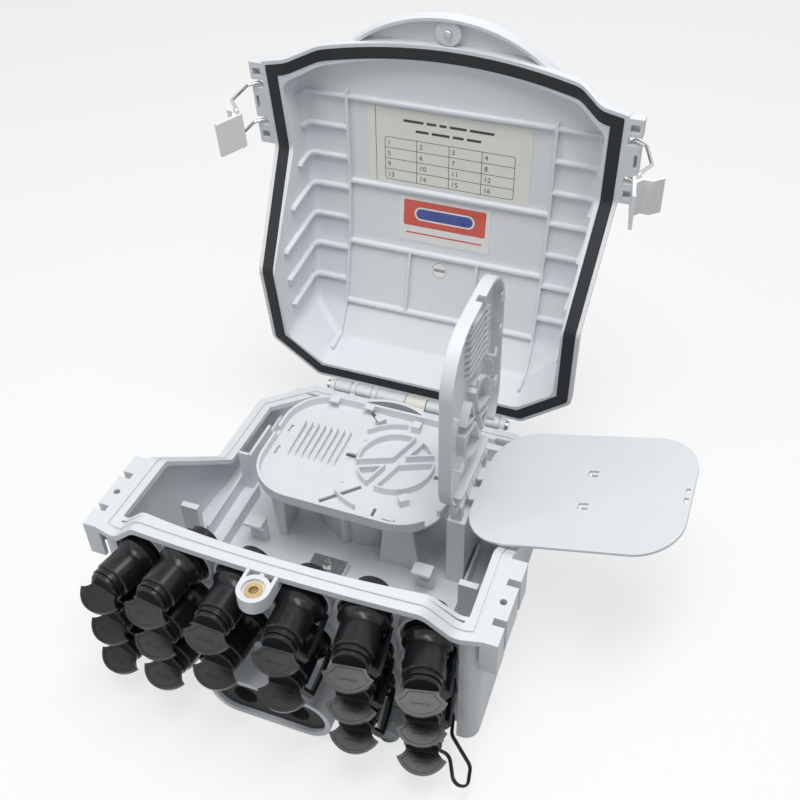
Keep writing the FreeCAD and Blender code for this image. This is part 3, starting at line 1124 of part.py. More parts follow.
# Cable entries.
grommet = cut("cable_port_grommet", prism("grommet_out", "xz", [oval(4)], f"{PANEL_Y} - spout_long + 3",
                                          f"{PANEL_Y} - spout_long + 15"),
              rod("grommet_hole", "y", "9", (f"{PANEL_Y} - spout_long", f"{PANEL_Y} - spout_long + 20"),
                  "-20", z="spout_z"),
              rod("grommet_hole_b", "y", "9", (f"{PANEL_Y} - spout_long", f"{PANEL_Y} - spout_long + 20"),
                  "20", z="spout_z"))
gland = turned("gland", [
    ("0", "-12"), ("gland_r", "-12"), ("gland_r", "0.1"), ("10", "0.1"), ("10", "5"), ("8.2", "5.5"),
    ("8.2", "7"), ("9.6", "7"), ("9.6", "18"), ("7", "24"), ("4.5", "26"), ("4.5", "24.5"),
    ("0", "24.5")])
glands = {side: placed(f"cable_gland_{word}", gland, on_panel(side * val("gland_x"), val("gland_z")))
          for side, word in ((-1, "left"), (1, "right"))}

# Strength-member clamp.
PLATE_Y = f"({FRONT} + 90)"
clamp_plate = cut("clamp_plate", box("clamp_sheet", ("-24", "4"), (f"{PLATE_Y} - 7", f"{PLATE_Y} + 7"),
                                     ("floor_top + 5", "floor_top + 7")),
                  rod("clamp_hole", "z", "2.2", ("floor_top", "floor_top + 10"), "-10", PLATE_Y))
clamp_head = cut("clamp_head", rod("clamp_cap", "z", "4.2", ("floor_top + 7", "floor_top + 9.6"), "-10",
                                   PLATE_Y),
                 box("clamp_cross_a", ("-13", "-7"), (f"{PLATE_Y} - 0.6", f"{PLATE_Y} + 0.6"),
                     ("floor_top + 8.4", "floor_top + 12")),
                 box("clamp_cross_b", ("-10.6", "-9.4"), (f"{PLATE_Y} - 3", f"{PLATE_Y} + 3"),
                     ("floor_top + 8.4", "floor_top + 12")))
clamp_screw = fuse("clamp_screw", [clamp_head,
                                   rod("clamp_shank", "z", "2", ("floor_top + 5", "floor_top + 7.5"), "-10",
                                       PLATE_Y)])


# Stickers lie on the ceiling of the lid.
def sticker(name, shape, y, drop):
    """Put a flat shape, modelled round the origin, on the ceiling, so far behind the front corners."""
    ends = [("0", CEILING_A), ("bend_b", CEILING_B), ("bend_c", CEILING_C), ("bend_d", CEILING_D)]
    for (y0, z0), (y1, z1) in zip(ends, ends[1:]):
        if y <= val(y1):
            slope = (val(z1) - val(z0)) / (val(y1) - val(y0))
            z = val(z0) + slope * (y - val(y0))
            turn = Turn(V(1, 0, 0), math.degrees(math.atan(slope)))
            on_ceiling = Place(V(0, val(FRONT) + y, z), turn) * Place(V(0, 0, -drop), Turn())
            return placed(name, shape, LID_OPEN * on_ceiling)


adapter_label = sticker("adapter_label", box("label_sheet", ("-70", "68"), ("-33", "33"), ("-0.3", "0")),
                        73, 0.05)
colour_sticker = sticker("colour_sticker", box("colour_sheet", ("-42", "38"), ("-20", "20"), ("-0.3", "0")),
                         135, 0.05)
round_sticker = sticker("round_sticker", rod("round_sheet", "z", "8", ("-0.3", "0"), "-3"), 176, 0.05)

NODES = [base_housing, back_ribs, hinge_knuckles, port_panel, splice_drum, tray_tower, floor_fittings,
         back_inserts, lid_insert, lid_cover, lid_gasket, hinge_pins, hinge_block, captive_screw,
         left_bail, right_bail, left_lever, right_lever, lower_splice_tray, upper_splice_tray, tray_cover,
         tray_hinge_pin, port_adapters, *caps, adapter_nuts, adapter_seals, cap_tethers, grommet,
         glands[-1], glands[1], clamp_plate, clamp_screw, adapter_label, colour_sticker, round_sticker]

doc.recompute()
bad = [o.Name for o in doc.Objects if "Invalid" in o.State or "Error" in o.State]
for node in NODES:
    if node.Shape.isNull() or not node.Shape.isValid() or not node.Shape.Solids:
        bad.append(node.Label)
if bad:
    raise RuntimeError("not built: " + ", ".join(bad))
os.makedirs("parts", exist_ok=True)
for node in NODES:
    node.Shape.exportStep("parts/" + node.Label + ".step")
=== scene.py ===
"""Finishes, print and small moulded marks of a fibre termination box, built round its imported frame."""

import json
import math

import bmesh
import bpy
from bpy.props import FloatProperty, FloatVectorProperty, PointerProperty
from mathutils import Matrix, Vector


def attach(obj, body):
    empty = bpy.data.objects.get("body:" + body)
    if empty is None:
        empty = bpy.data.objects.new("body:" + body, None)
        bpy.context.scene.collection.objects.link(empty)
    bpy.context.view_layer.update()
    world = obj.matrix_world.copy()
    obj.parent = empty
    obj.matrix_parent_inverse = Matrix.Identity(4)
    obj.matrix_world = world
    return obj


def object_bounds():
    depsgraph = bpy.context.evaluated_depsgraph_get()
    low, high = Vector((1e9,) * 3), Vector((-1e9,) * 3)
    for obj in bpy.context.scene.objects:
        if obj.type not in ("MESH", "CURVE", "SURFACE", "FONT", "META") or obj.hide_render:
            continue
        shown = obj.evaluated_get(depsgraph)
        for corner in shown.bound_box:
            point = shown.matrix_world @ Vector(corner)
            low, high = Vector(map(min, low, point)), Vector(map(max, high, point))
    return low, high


bl_info = {
    "name": "Fibre termination box",
    "version": (1, 0, 0),
    "blender": (4, 5, 0),
    "location": "View3D > Sidebar > Termination Box",
    "description": "Finishes, print and small marks of a wall box for sixteen drop fibres",
    "category": "Object",
}

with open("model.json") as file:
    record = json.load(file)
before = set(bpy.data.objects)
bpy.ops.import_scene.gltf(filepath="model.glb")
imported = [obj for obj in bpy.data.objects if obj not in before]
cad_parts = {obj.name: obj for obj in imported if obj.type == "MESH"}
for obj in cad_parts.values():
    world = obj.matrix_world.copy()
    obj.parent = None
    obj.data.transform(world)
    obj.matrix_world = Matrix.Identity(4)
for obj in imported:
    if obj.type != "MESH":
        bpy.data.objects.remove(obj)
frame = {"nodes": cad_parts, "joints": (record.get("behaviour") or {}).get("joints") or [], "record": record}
CAD_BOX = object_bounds()
NODES = frame["nodes"]
JOINTS = {joint["name"]: joint for joint in frame["joints"]}
MM = 0.001
PORTS = [name[-2:] for name in sorted(NODES) if name.startswith("dust_cap_")]

# A screw cap along its port: its barrel, and where its tab starts, droops and ends in thickness.
BARREL_R = 13.5 * MM
CAP_END = 43.5 * MM
TAB_BELOW = 3 * MM
TAB_DROOP = math.radians(21)
TAB_FACE = 1.65 * MM
TAB_BORDER = 2 * MM

# Fields of the colour sticker in shares of its width and height, and their middles above the sticker's own.
RED_FIELD = (0.90, 0.58)
BLUE_EDGE = (0.66, 0.30)
BLUE_BAR = (0.62, 0.23)
RED_RULE = (0.84, 0.035)
RED_MIDDLE = 0.14
RULE_MIDDLE = -0.31
RED_CORNER = 1.6 * MM
RULE_CORNER = 0.4 * MM

# Print of the round sticker in shares of its radius.
DOT_RING = 0.84
DOT_RING_HALF = 0.035
DOT_BAR = (1.3, 0.34)
DOT_BAR_CORNER = 0.1

UP = Vector((0, 0, 1))
RIGHT = Vector((1, 0, 0))
FORWARD = Vector((0, -1, 0))

# How nearly a face's normal must point a way to count as facing it, and the edges in a round printed corner.
FACING = 0.8
CORNER_STEPS = 6


# Settings that a user would change.

def colour_setting(name, description, default):
    return FloatVectorProperty(name=name, description=description, default=default, size=3,
                               subtype="COLOR", min=0.0, max=1.0)


def length_setting(name, description, default):
    return FloatProperty(name=name, description=description, default=default, unit="LENGTH", min=0.0)


def power_setting(name, description, default):
    return FloatProperty(name=name, description=description, default=default, unit="POWER", min=0.0)


class PlasticLook(bpy.types.PropertyGroup):
    """Colours and surface of the moulded pieces."""

    housing: colour_setting("Housing", "Colour of the base and the lid", (0.74, 0.76, 0.79))
    tray: colour_setting("Trays", "Colour of the splice trays and their cover", (0.72, 0.745, 0.77))
    lever: colour_setting("Levers", "Colour of the latch levers", (0.83, 0.83, 0.83))
    block: colour_setting("Hinge block", "Colour of the block between the hinge pins", (0.80, 0.78, 0.70))
    gland: colour_setting("Glands", "Colour of the cable glands", (0.34, 0.37, 0.38))
    cap: colour_setting("Caps", "Colour of caps, adapters, nuts and tethers", (0.010, 0.011, 0.012))
    rubber: colour_setting("Rubber", "Colour of the gasket, seals and grommet", (0.016, 0.018, 0.020))
    edge_round: length_setting("Edge rounding", "Rounding of the moulded edges", 0.55 * MM)
    grain_depth: length_setting("Grain depth", "Depth of the fine moulded grain", 0.02 * MM)


class MetalLook(bpy.types.PropertyGroup):
    """Colours and polish of the metal pieces."""

    steel: colour_setting("Steel", "Colour of bails, pins, clamp plate and screws", (0.62, 0.62, 0.61))
    brass: colour_setting("Brass", "Colour of the threaded inserts", (0.66, 0.50, 0.27))
    polish: FloatProperty(name="Roughness", description="Mean roughness of the metal", default=0.28,
                          subtype="FACTOR", min=0.0, max=1.0)


class PrintLook(bpy.types.PropertyGroup):
    """Paper, ink and colour fields of the stickers in the lid."""

    paper: colour_setting("Paper", "Colour of the port label", (0.80, 0.78, 0.72))
    ink: colour_setting("Ink", "Colour of the label's lines and numbers", (0.03, 0.03, 0.035))
    red: colour_setting("Red field", "Upper field of the colour sticker", (0.66, 0.085, 0.055))
    blue: colour_setting("Blue bar", "Bar on the red field", (0.04, 0.07, 0.30))
    white: colour_setting("White field", "Lower field and border of the stickers", (0.80, 0.79, 0.77))
    line: length_setting("Line width", "Width of the label's printed lines", 0.45 * MM)
    digit: length_setting("Digit height", "Height of the label's numbers", 4.2 * MM)


class StageLook(bpy.types.PropertyGroup):
    """Camera, lamps and floor."""

    eye: FloatVectorProperty(name="Camera", description="Place of the camera", size=3,
                             default=(0.23515, -0.49637, 0.66344), subtype="TRANSLATION", unit="LENGTH")
    azimuth: FloatProperty(name="Azimuth", description="Side from which the camera looks",
                           default=math.radians(21.594), subtype="ANGLE")
    elevation: FloatProperty(name="Elevation", description="Height from which the camera looks",
                             default=math.radians(42.127), subtype="ANGLE")
    roll: FloatProperty(name="Roll", description="Turn of the camera about its own axis",
                        default=math.radians(-1.494), subtype="ANGLE")
    lens: FloatProperty(name="Lens", description="Focal length in millimetres on a 36 mm sensor",
                        default=47.0, min=1.0)
    floor: colour_setting("Floor", "Colour of the floor as it is seen", (0.93, 0.93, 0.93))
    bounce: colour_setting("Bounce", "Colour of the light that the floor throws back", (0.42, 0.43, 0.44))
    sky: colour_setting("Surround", "Colour of the even light from all sides", (0.95, 0.975, 1.0))
    surround: FloatProperty(name="Surround strength", description="Strength of the even light", default=0.32,
                            min=0.0)
    overhead: power_setting("Overhead", "Power of the softbox above", 15.5)
    front: power_setting("Front", "Power of the wide lamp in front", 3.0)
    strips: power_setting("Strips", "Power of each narrow lamp above the caps", 1.7)


class BoxLook(bpy.types.PropertyGroup):
    """All settings of the termination box."""

    plastic: PointerProperty(type=PlasticLook)
    metal: PointerProperty(type=MetalLook)
    printing: PointerProperty(type=PrintLook)
    stage: PointerProperty(type=StageLook)


# Shader maths.

class Socket:
    """An output of a node; arithmetic on it adds Math nodes."""

    def __init__(self, nodes, output):
        self.nodes = nodes
        self.output = output

    def maths(self, operation, first, second=None, clamp=False):
        feeds = {0: first} if second is None else {0: first, 1: second}
        return self.nodes.node("ShaderNodeMath", {"operation": operation, "use_clamp": clamp}, feeds)

    def __add__(self, other):
        return self.maths("ADD", self, other)

    def __radd__(self, other):
        return self.maths("ADD", other, self)

    def __sub__(self, other):
        return self.maths("SUBTRACT", self, other)

    def __rsub__(self, other):
        return self.maths("SUBTRACT", other, self)

    def __mul__(self, other):
        return self.maths("MULTIPLY", self, other)

    def __rmul__(self, other):
        return self.maths("MULTIPLY", other, self)

    def __lt__(self, other):
        return self.maths("LESS_THAN", self, other)

    def __abs__(self):
        return self.maths("ABSOLUTE", self)

    def most(self, other):
        return self.maths("MAXIMUM", self, other)

    def root(self):
        return self.maths("SQRT", self)

    def clamped(self):
        return self.maths("ADD", self, 0.0, clamp=True)


class Nodes:
    """A node tree that is written as expressions."""

    def __init__(self, tree):
        self.tree = tree

    def node(self, kind, settings=None, feeds=None, out=0):
        """Add a node of a kind, apply its settings, then set or link its sockets, and give one output."""
        made = self.tree.nodes.new(kind)
        for name, value in (settings or {}).items():
            if name == "stops":
                self.set_stops(made.color_ramp, value)
            else:
                setattr(made, name, value)
        for name, value in (feeds or {}).items():
            self.feed(made.inputs[name], value)
        return Socket(self, made.outputs[out])

    def set_stops(self, ramp, stops):
        while len(ramp.elements) < len(stops):
            ramp.elements.new(1.0)
        for element, (place, value) in zip(ramp.elements, stops):
            element.position = place
            element.color = (value, value, value, 1.0)

    def feed(self, target, value):
        if isinstance(value, Socket):
            self.tree.links.new(value.output, target)
        elif target.type == "RGBA":
            target.default_value = (*value[:3], 1.0)
        else:
            target.default_value = value

    def seen(self):
        """Mask of what the camera sees straight, in a reflection or through glass."""
        rays = [self.node("ShaderNodeLightPath", out=f"Is {kind} Ray")
                for kind in ("Camera", "Glossy", "Transmission")]
        return (rays[0] + rays[1] + rays[2]).clamped()

    def mix_shaders(self, factor, first, second):
        return self.node("ShaderNodeMixShader", None, {0: factor, 1: first, 2: second})


class Finish(Nodes):
    """A material with one main shader."""

    NOISE_ROUGHNESS = 0.55
    BEVEL_SAMPLES = 4
    EDGE_GAIN = 5.0

    def __init__(self, name):
        self.material = bpy.data.materials.new(name)
        self.material.use_nodes = True
        super().__init__(self.material.node_tree)
        self.shader = self.tree.nodes["Principled BSDF"]

    def surface(self, **feeds):
        """Set or link sockets of the shader; a word such as base_color stands for Base Color."""
        for name, value in feeds.items():
            self.feed(self.shader.inputs[name.replace("_", " ").title().replace("Ior", "IOR")], value)
        return self.material

    def position(self):
        return self.node("ShaderNodeTexCoord", out="Object")

    def face(self):
        return self.node("ShaderNodeNewGeometry", out="Normal")

    def vector(self, operation, *values, out=0):
        return self.node("ShaderNodeVectorMath", {"operation": operation}, dict(enumerate(values)), out)

    def along(self, axis, start):
        """Distance from a point along an axis."""
        return self.vector("DOT_PRODUCT", self.vector("SUBTRACT", self.position(), start), axis, out="Value")

    def noise(self, size, stretch=(1, 1, 1), detail=3.0):
        """Soft noise from 0 to 1 whose patches are about one size across, in metres."""
        place = self.vector("MULTIPLY", self.position(), stretch)
        return self.node("ShaderNodeTexNoise", {"noise_dimensions": "3D"},
                         {"Vector": place, "Scale": 1 / size, "Detail": detail,
                          "Roughness": self.NOISE_ROUGHNESS})

    def ramp(self, factor, *stops):
        return self.node("ShaderNodeValToRGB", {"stops": stops}, {0: factor})

    def mix(self, first, second, factor):
        """Colour between two colours."""
        return self.node("ShaderNodeMix", {"data_type": "RGBA"}, {0: factor, 6: first, 7: second}, out=2)

    def rounded(self, radius):
        """Normal that is rounded off along the edges."""
        return self.node("ShaderNodeBevel", {"samples": self.BEVEL_SAMPLES}, {"Radius": radius})

    def edges(self, rounded):
        """Mask of the edges, from 0 on flat faces to 1."""
        turned = 1 - self.vector("DOT_PRODUCT", rounded, self.face(), out="Value")
        return (turned * self.EDGE_GAIN).clamped()

    def bump(self, height, distance, normal):
        """Normal tilted by a height from 0 to 1 that stands for a depth in metres."""
        return self.node("ShaderNodeBump", None,
                         {"Strength": 1.0, "Distance": distance, "Height": height, "Normal": normal})


def shade(colour, by):
    """A colour made lighter or darker by a factor."""
    return tuple(min(1.0, channel * by) for channel in colour)


# Finishes.

def moulded_plastic(name, colour, look, roughness, coat=0.0):
    """Satin moulded plastic: fine grain, faint flow marks, cloudy tone and paler edges, a painted highlight
    together with wear.
    """
    finish = Finish(name)
    normal = finish.rounded(look.edge_round)
    edge = finish.edges(normal)
    cloud = finish.noise(70 * MM, detail=4.0)
    flow = finish.noise(9 * MM, stretch=(1, 0.07, 0.35))
    grain = finish.noise(0.45 * MM, detail=2.0)
    tone = finish.mix(shade(colour, 0.955), shade(colour, 1.03), (cloud * 0.65 + flow * 0.35).clamped())
    # Edges are made paler: a painted highlight along the rounded edges, together with wear.
    edge_highlight_and_wear = shade(colour, 1.12)
    finish.surface(base_color=finish.mix(tone, edge_highlight_and_wear, edge * 0.55),
                   roughness=(roughness + 0.10 * (cloud - 0.5) + 0.08 * (grain - 0.5)).clamped(),
                   normal=finish.bump(grain, look.grain_depth, normal))
    return finish.surface(coat_weight=coat, coat_roughness=0.25) if coat else finish.material


def black_plastic(name, colour, look):
    """Glossy black plastic with a soft moulded grain, handling scuffs and paler edges, a painted highlight
    together with wear.
    """
    finish = Finish(name)
    normal = finish.rounded(look.edge_round)
    edge = finish.edges(normal)
    cloud = finish.noise(24 * MM, detail=4.0)
    grain = finish.noise(0.5 * MM, detail=2.0)
    scuff = finish.ramp(finish.noise(2.6 * MM, stretch=(0.25, 1, 1), detail=6.0), (0.60, 0.0), (0.74, 1.0))
    dust = finish.ramp(finish.noise(1.1 * MM, detail=2.0), (0.66, 0.0), (0.80, 1.0))
    worn = finish.mix(shade(colour, 0.8), shade(colour, 1.7), (cloud * 0.6 + scuff * 0.25).clamped())
    # A paler colour for specks of dust, and along the edges as a painted highlight together with wear.
    paler_colour = shade(colour, 5.0)
    base = finish.mix(worn, paler_colour, (edge * 0.45 + dust * 0.08).clamped())
    return finish.surface(base_color=base, specular_ior_level=0.30,
                          roughness=(0.25 + 0.12 * (cloud - 0.5) + 0.10 * scuff).clamped(),
                          normal=finish.bump(grain, look.grain_depth * 0.5, normal))


def moulded_rubber(name, colour, look):
    """Matt black rubber with a fine skin and a little dust."""
    finish = Finish(name)
    normal = finish.rounded(look.edge_round)
    skin = finish.noise(0.6 * MM, detail=4.0)
    cloud = finish.noise(15 * MM, detail=4.0)
    dust = finish.ramp(finish.noise(0.8 * MM, detail=3.0), (0.62, 0.0), (0.80, 1.0))
    base = finish.mix(shade(colour, 0.8), shade(colour, 1.5), cloud)
    paler_colour = shade(colour, 4.0)
    return finish.surface(base_color=finish.mix(base, paler_colour, dust * 0.25),
                          roughness=(0.62 + 0.16 * (cloud - 0.5)).clamped(), specular_ior_level=0.35,
                          normal=finish.bump(skin, look.grain_depth * 2, normal))


def drawn_metal(name, colour, roughness, stretch, look):
    """Metal with fine drawing or turning lines, drawn out along the axes whose stretch is small."""
    finish = Finish(name)
    normal = finish.rounded(look.edge_round * 0.5)
    lines = finish.noise(0.35 * MM, stretch=stretch, detail=3.0)
    cloud = finish.noise(6 * MM, detail=4.0)
    base = finish.mix(shade(colour, 0.9), shade(colour, 1.06), (lines * 0.4 + cloud * 0.6).clamped())
    return finish.surface(base_color=base, metallic=1.0,
                          roughness=(roughness + 0.10 * (lines - 0.5) + 0.12 * (cloud - 0.5)).clamped(),
                          normal=finish.bump(lines, 0.006 * MM, normal))


def label_paper(name, colour):
    """Coated paper with a faint fibre and a little ageing."""
    finish = Finish(name)
    fibre = finish.noise(0.5 * MM, stretch=(0.3, 1, 1), detail=5.0)
    age = finish.noise(30 * MM, detail=4.0)
    base = finish.mix(shade(colour, 0.95), shade(colour, 1.04), (age * 0.7 + fibre * 0.3).clamped())
    return finish.surface(base_color=base, roughness=(0.55 + 0.15 * (fibre - 0.5)).clamped(),
                          normal=finish.bump(fibre, 0.02 * MM, finish.face()))


def printed_ink(name, colour):
    """Thin ink whose density varies a little."""
    finish = Finish(name)
    density = finish.noise(1.2 * MM, detail=4.0)
    return finish.surface(base_color=finish.mix(colour, shade(colour, 2.2), density),
                          roughness=(0.45 + 0.1 * density).clamped())


def within(across, up, width, height, corner):
    """Mask of a rectangle with rounded corners round the origin of two distances."""
    x = (abs(across) - (width / 2 - corner)).most(0.0)
    y = (abs(up) - (height / 2 - corner)).most(0.0)
    return (x * x + y * y).root() < corner


def colour_fields(name, look, place, size):
    """Sticker with a red field, a white-edged blue bar on it and a white field below."""
    width, height = size
    finish = Finish(name)
    across = finish.along(place.col[0].xyz, place.translation)
    up = finish.along(place.col[1].xyz, place.translation)
    red_up = up - RED_MIDDLE * height
    rule_up = up - RULE_MIDDLE * height
    edge_high = BLUE_EDGE[1] * height
    bar_high = BLUE_BAR[1] * height
    red = within(across, red_up, RED_FIELD[0] * width, RED_FIELD[1] * height, RED_CORNER)
    ring = within(across, red_up, BLUE_EDGE[0] * width, edge_high, edge_high / 2)
    bar = within(across, red_up, BLUE_BAR[0] * width, bar_high, bar_high / 2)
    rule = within(across, rule_up, RED_RULE[0] * width, RED_RULE[1] * height, RULE_CORNER)
    cloud = finish.noise(12 * MM, detail=4.0)
    colours = finish.mix(look.white, look.red, red)
    colours = finish.mix(colours, look.white, ring)
    colours = finish.mix(colours, look.blue, bar)
    colours = finish.mix(colours, look.red, rule)
    return finish.surface(base_color=finish.mix(colours, look.white, cloud * 0.10),
                          roughness=(0.30 + 0.15 * (cloud - 0.5)).clamped(),
                          normal=finish.bump(cloud, 0.05 * MM, finish.face()))


def dot_print(name, look, place, size):
    """Round paper sticker with a thin ring and a bar across it."""
    radius = size[0] / 2
    finish = Finish(name)
    across = finish.along(place.col[0].xyz, place.translation)
    up = finish.along(place.col[1].xyz, place.translation)
    far = (across * across + up * up).root()
    ring = abs(far - DOT_RING * radius) < DOT_RING_HALF * radius
    bar = within(across, up, DOT_BAR[0] * radius, DOT_BAR[1] * radius, DOT_BAR_CORNER * radius)
    fibre = finish.noise(0.6 * MM, detail=4.0)
    paper = finish.mix(shade(look.white, 0.95), shade(look.white, 1.05), fibre)
    faded = shade(look.ink, 5.0)
    return finish.surface(base_color=finish.mix(paper, faded, (ring + bar).clamped() * 0.75),
                          roughness=(0.5 + 0.1 * (fibre - 0.5)).clamped())


# Shared mesh work.

def in_slot(slot):
    """Names of the nodes that the record gives to a material slot."""
    return [piece["node"] for piece in frame["record"]["subparts"] if piece["material_slot"] == slot]


def paint(material, *names):
    """Give nodes one material."""
    for name in names:
        materials = NODES[name].data.materials
        materials.clear()
        materials.append(material)


def add_piece(name, shape, material, body):
    """Turn a bmesh into a piece with outward normals that rides on a body."""
    mesh = finish_mesh(name, shape)
    mesh.materials.append(material)
    thing = bpy.data.objects.new(name, mesh)
    bpy.context.scene.collection.objects.link(thing)
    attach(thing, body)


def finish_mesh(name, shape):
    """Turn a bmesh into a mesh whose normals point outwards."""
    bmesh.ops.recalc_face_normals(shape, faces=shape.faces)
    mesh = bpy.data.meshes.new(name)
    shape.to_mesh(mesh)
    shape.free()
    return mesh


def flat(place):
    """Puts flat points with a height over them into a frame."""
    return lambda x, y, height: place @ Vector((x, y, height))


def wrapped(place, radius):
    """Puts flat points with a height over them round the upper side of a barrel along a frame's z axis."""
    def put(x, y, height):
        turn = x / radius
        reach = radius + height
        return place @ Vector((reach * math.sin(turn), reach * math.cos(turn), y))
    return put


def add_slab(shape, outline, low, high, put):
    """Extrude a flat outline of (x, y) points between two heights."""
    bottom = [shape.verts.new(put(x, y, low)) for x, y in outline]
    top = [shape.verts.new(put(x, y, high)) for x, y in outline]
    shape.faces.new(bottom[::-1])
    shape.faces.new(top)
    for a in range(len(outline)):
        b = (a + 1) % len(outline)
        shape.faces.new((bottom[a], bottom[b], top[b], top[a]))


def rectangle(x, y, width, height):
    """Corners of a rectangle round a point."""
    return [(x - width / 2, y - height / 2), (x + width / 2, y - height / 2),
            (x + width / 2, y + height / 2), (x - width / 2, y + height / 2)]


def rounded_frame(shape, width, height, corner, line, heights, place):
    """Closed printed line along a rectangle with round corners."""
    def ring(inset):
        points = []
        for quarter, (sx, sy) in enumerate(((1, 1), (-1, 1), (-1, -1), (1, -1))):
            centre = Vector((sx * (width / 2 - corner), sy * (height / 2 - corner)))
            for step in range(CORNER_STEPS + 1):
                angle = math.pi / 2 * (quarter + step / CORNER_STEPS)
                points.append(centre + (corner - inset) * Vector((math.cos(angle), math.sin(angle))))
        return points

    loops = [[shape.verts.new(place @ Vector((*p, h))) for p in ring(inset)]
             for inset, h in ((0, heights[0]), (0, heights[1]), (line, heights[1]), (line, heights[0]))]
    count = len(loops[0])
    for first, second in zip(loops, loops[1:] + loops[:1]):
        for a in range(count):
            b = (a + 1) % count
            shape.faces.new((first[a], first[b], second[b], second[a]))


def sheet_place(name, facing):
    """Frame in the visible face of a thin flat node, x to the right and y up the face, and its two sizes."""
    mesh = NODES[name].data
    shown = [face for face in mesh.polygons if face.normal.dot(facing) > FACING]
    normal = sum((face.normal * face.area for face in shown), Vector()).normalized()
    up = normal.cross(RIGHT).normalized()
    points = [mesh.vertices[index].co for face in shown for index in face.vertices]
    low = [min(p.dot(axis) for p in points) for axis in (RIGHT, up)]
    high = [max(p.dot(axis) for p in points) for axis in (RIGHT, up)]
    middle = RIGHT * (low[0] + high[0]) / 2 + up * (low[1] + high[1]) / 2
    place = Matrix((RIGHT, up, normal)).transposed().to_4x4()
    place.translation = middle + normal * max(p.dot(normal) for p in points)
    return place, (high[0] - low[0], high[1] - low[1])


def port_place(number):
    """Frame of a port: x across, y up, z out along the port."""
    joint = JOINTS[f"cap_{number}_twist"]
    out = Vector(joint["axis"]).normalized()
    place = Matrix((UP.cross(out), UP, out)).transposed().to_4x4()
    place.translation = Vector(joint["pos_m"])
    return place


# Operators, one for each group of pieces.

class TERMBOX_OT_housing(bpy.types.Operator):
    """Finish the base and the lid in pale moulded plastic"""

    bl_idname = "termbox.housing"
    bl_label = "Base and lid"

    def execute(self, context):
        look = context.scene.termination_box.plastic
        paint(moulded_plastic("housing_plastic", look.housing, look, 0.46), *in_slot("housing_plastic"))
        return {"FINISHED"}


class TERMBOX_OT_trays(bpy.types.Operator):
    """Finish the splice trays, the tray cover, the hinge block and the cable glands"""

    bl_idname = "termbox.trays"
    bl_label = "Trays, block and glands"

    def execute(self, context):
        look = context.scene.termination_box.plastic
        paint(moulded_plastic("tray_plastic", look.tray, look, 0.42), *in_slot("tray_plastic"))
        paint(moulded_plastic("block_nylon", look.block, look, 0.5), *in_slot("cream_plastic"))
        paint(moulded_plastic("gland_nylon", look.gland, look, 0.45), *in_slot("gland_plastic"))
        return {"FINISHED"}


class TERMBOX_OT_latches(bpy.types.Operator):
    """Finish the bent-wire bails and the white latch levers"""

    bl_idname = "termbox.latches"
    bl_label = "Latches"

    def execute(self, context):
        look = context.scene.termination_box
        white = moulded_plastic("lever_plastic", look.plastic.lever, look.plastic, 0.34, coat=0.2)
        wire = drawn_metal("bail_wire", look.metal.steel, look.metal.polish - 0.06, (1, 0.2, 0.2), look.plastic)
        paint(white, *in_slot("lever_plastic"))
        paint(wire, "left_latch_bail", "right_latch_bail")
        return {"FINISHED"}


class TERMBOX_OT_metal(bpy.types.Operator):
    """Finish the pins, the clamp plate, both screws and the brass inserts"""

    bl_idname = "termbox.metal"
    bl_label = "Pins, clamp and brass"

    def execute(self, context):
        look = context.scene.termination_box
        steel = drawn_metal("rolled_steel", look.metal.steel, look.metal.polish, (0.06, 1, 1), look.plastic)
        brass = drawn_metal("turned_brass", look.metal.brass, look.metal.polish, (0.25, 0.25, 1), look.plastic)
        paint(steel, "hinge_pins", "tray_hinge_pin", "clamp_plate", "clamp_screw", "captive_screw")
        paint(brass, "back_inserts", "lid_insert")
        return {"FINISHED"}


class TERMBOX_OT_rubber(bpy.types.Operator):
    """Finish the gasket, the port seals and the grommet"""

    bl_idname = "termbox.rubber"
    bl_label = "Rubber"

    def execute(self, context):
        look = context.scene.termination_box.plastic
        paint(moulded_rubber("moulded_rubber", look.rubber, look), *in_slot("gasket_rubber"))
        return {"FINISHED"}


class TERMBOX_OT_caps(bpy.types.Operator):
    """Finish the port hardware and raise arrows on the tab and the barrel of every screw cap"""

    bl_idname = "termbox.caps"
    bl_label = "Ports and caps"

    SPAN = 6.5 * MM
    HEAD = 2.6 * MM
    BARB = 1.3 * MM
    LINE = 0.35 * MM
    TAB_BACK = 7.2 * MM
    MARK_LOW = 23 * MM
    MARK_HIGH = 31 * MM
    RISE = 0.35 * MM
    SINK = 0.05 * MM

    def double_arrow(self):
        """Outline of a thin arrow along x with a head at both ends."""
        neck = self.SPAN - self.HEAD
        half = [(neck, -self.LINE), (neck, -self.BARB), (self.SPAN, 0), (neck, self.BARB), (neck, self.LINE)]
        return half + [(-x, -y) for x, y in half]

    def single_arrow(self):
        """Outline of a thin arrow along y whose head points to the panel."""
        neck = self.MARK_LOW + self.HEAD
        return [(-self.LINE, self.MARK_HIGH), (-self.LINE, neck), (-self.BARB, neck), (0, self.MARK_LOW),
                (self.BARB, neck), (self.LINE, neck), (self.LINE, self.MARK_HIGH)]

    def execute(self, context):
        look = context.scene.termination_box.plastic
        black = black_plastic("cap_plastic", look.cap, look)
        paint(black, *in_slot("black_plastic"))
        for number in PORTS:
            port = port_place(number)
            tab = port @ Matrix.Translation((0, -TAB_BELOW, CAP_END))
            tab = tab @ Matrix.Rotation(TAB_DROOP - math.pi / 2, 4, "X")
            on_tab = flat(tab @ Matrix.Translation((0, -self.TAB_BACK, 0)))
            shape = bmesh.new()
            add_slab(shape, self.double_arrow(), TAB_FACE - self.SINK, TAB_BORDER, on_tab)
            add_slab(shape, self.single_arrow(), -self.RISE, self.RISE, wrapped(port, BARREL_R))
            add_piece(f"cap_arrow_{number}", shape, black, f"cap_{number}")
        return {"FINISHED"}


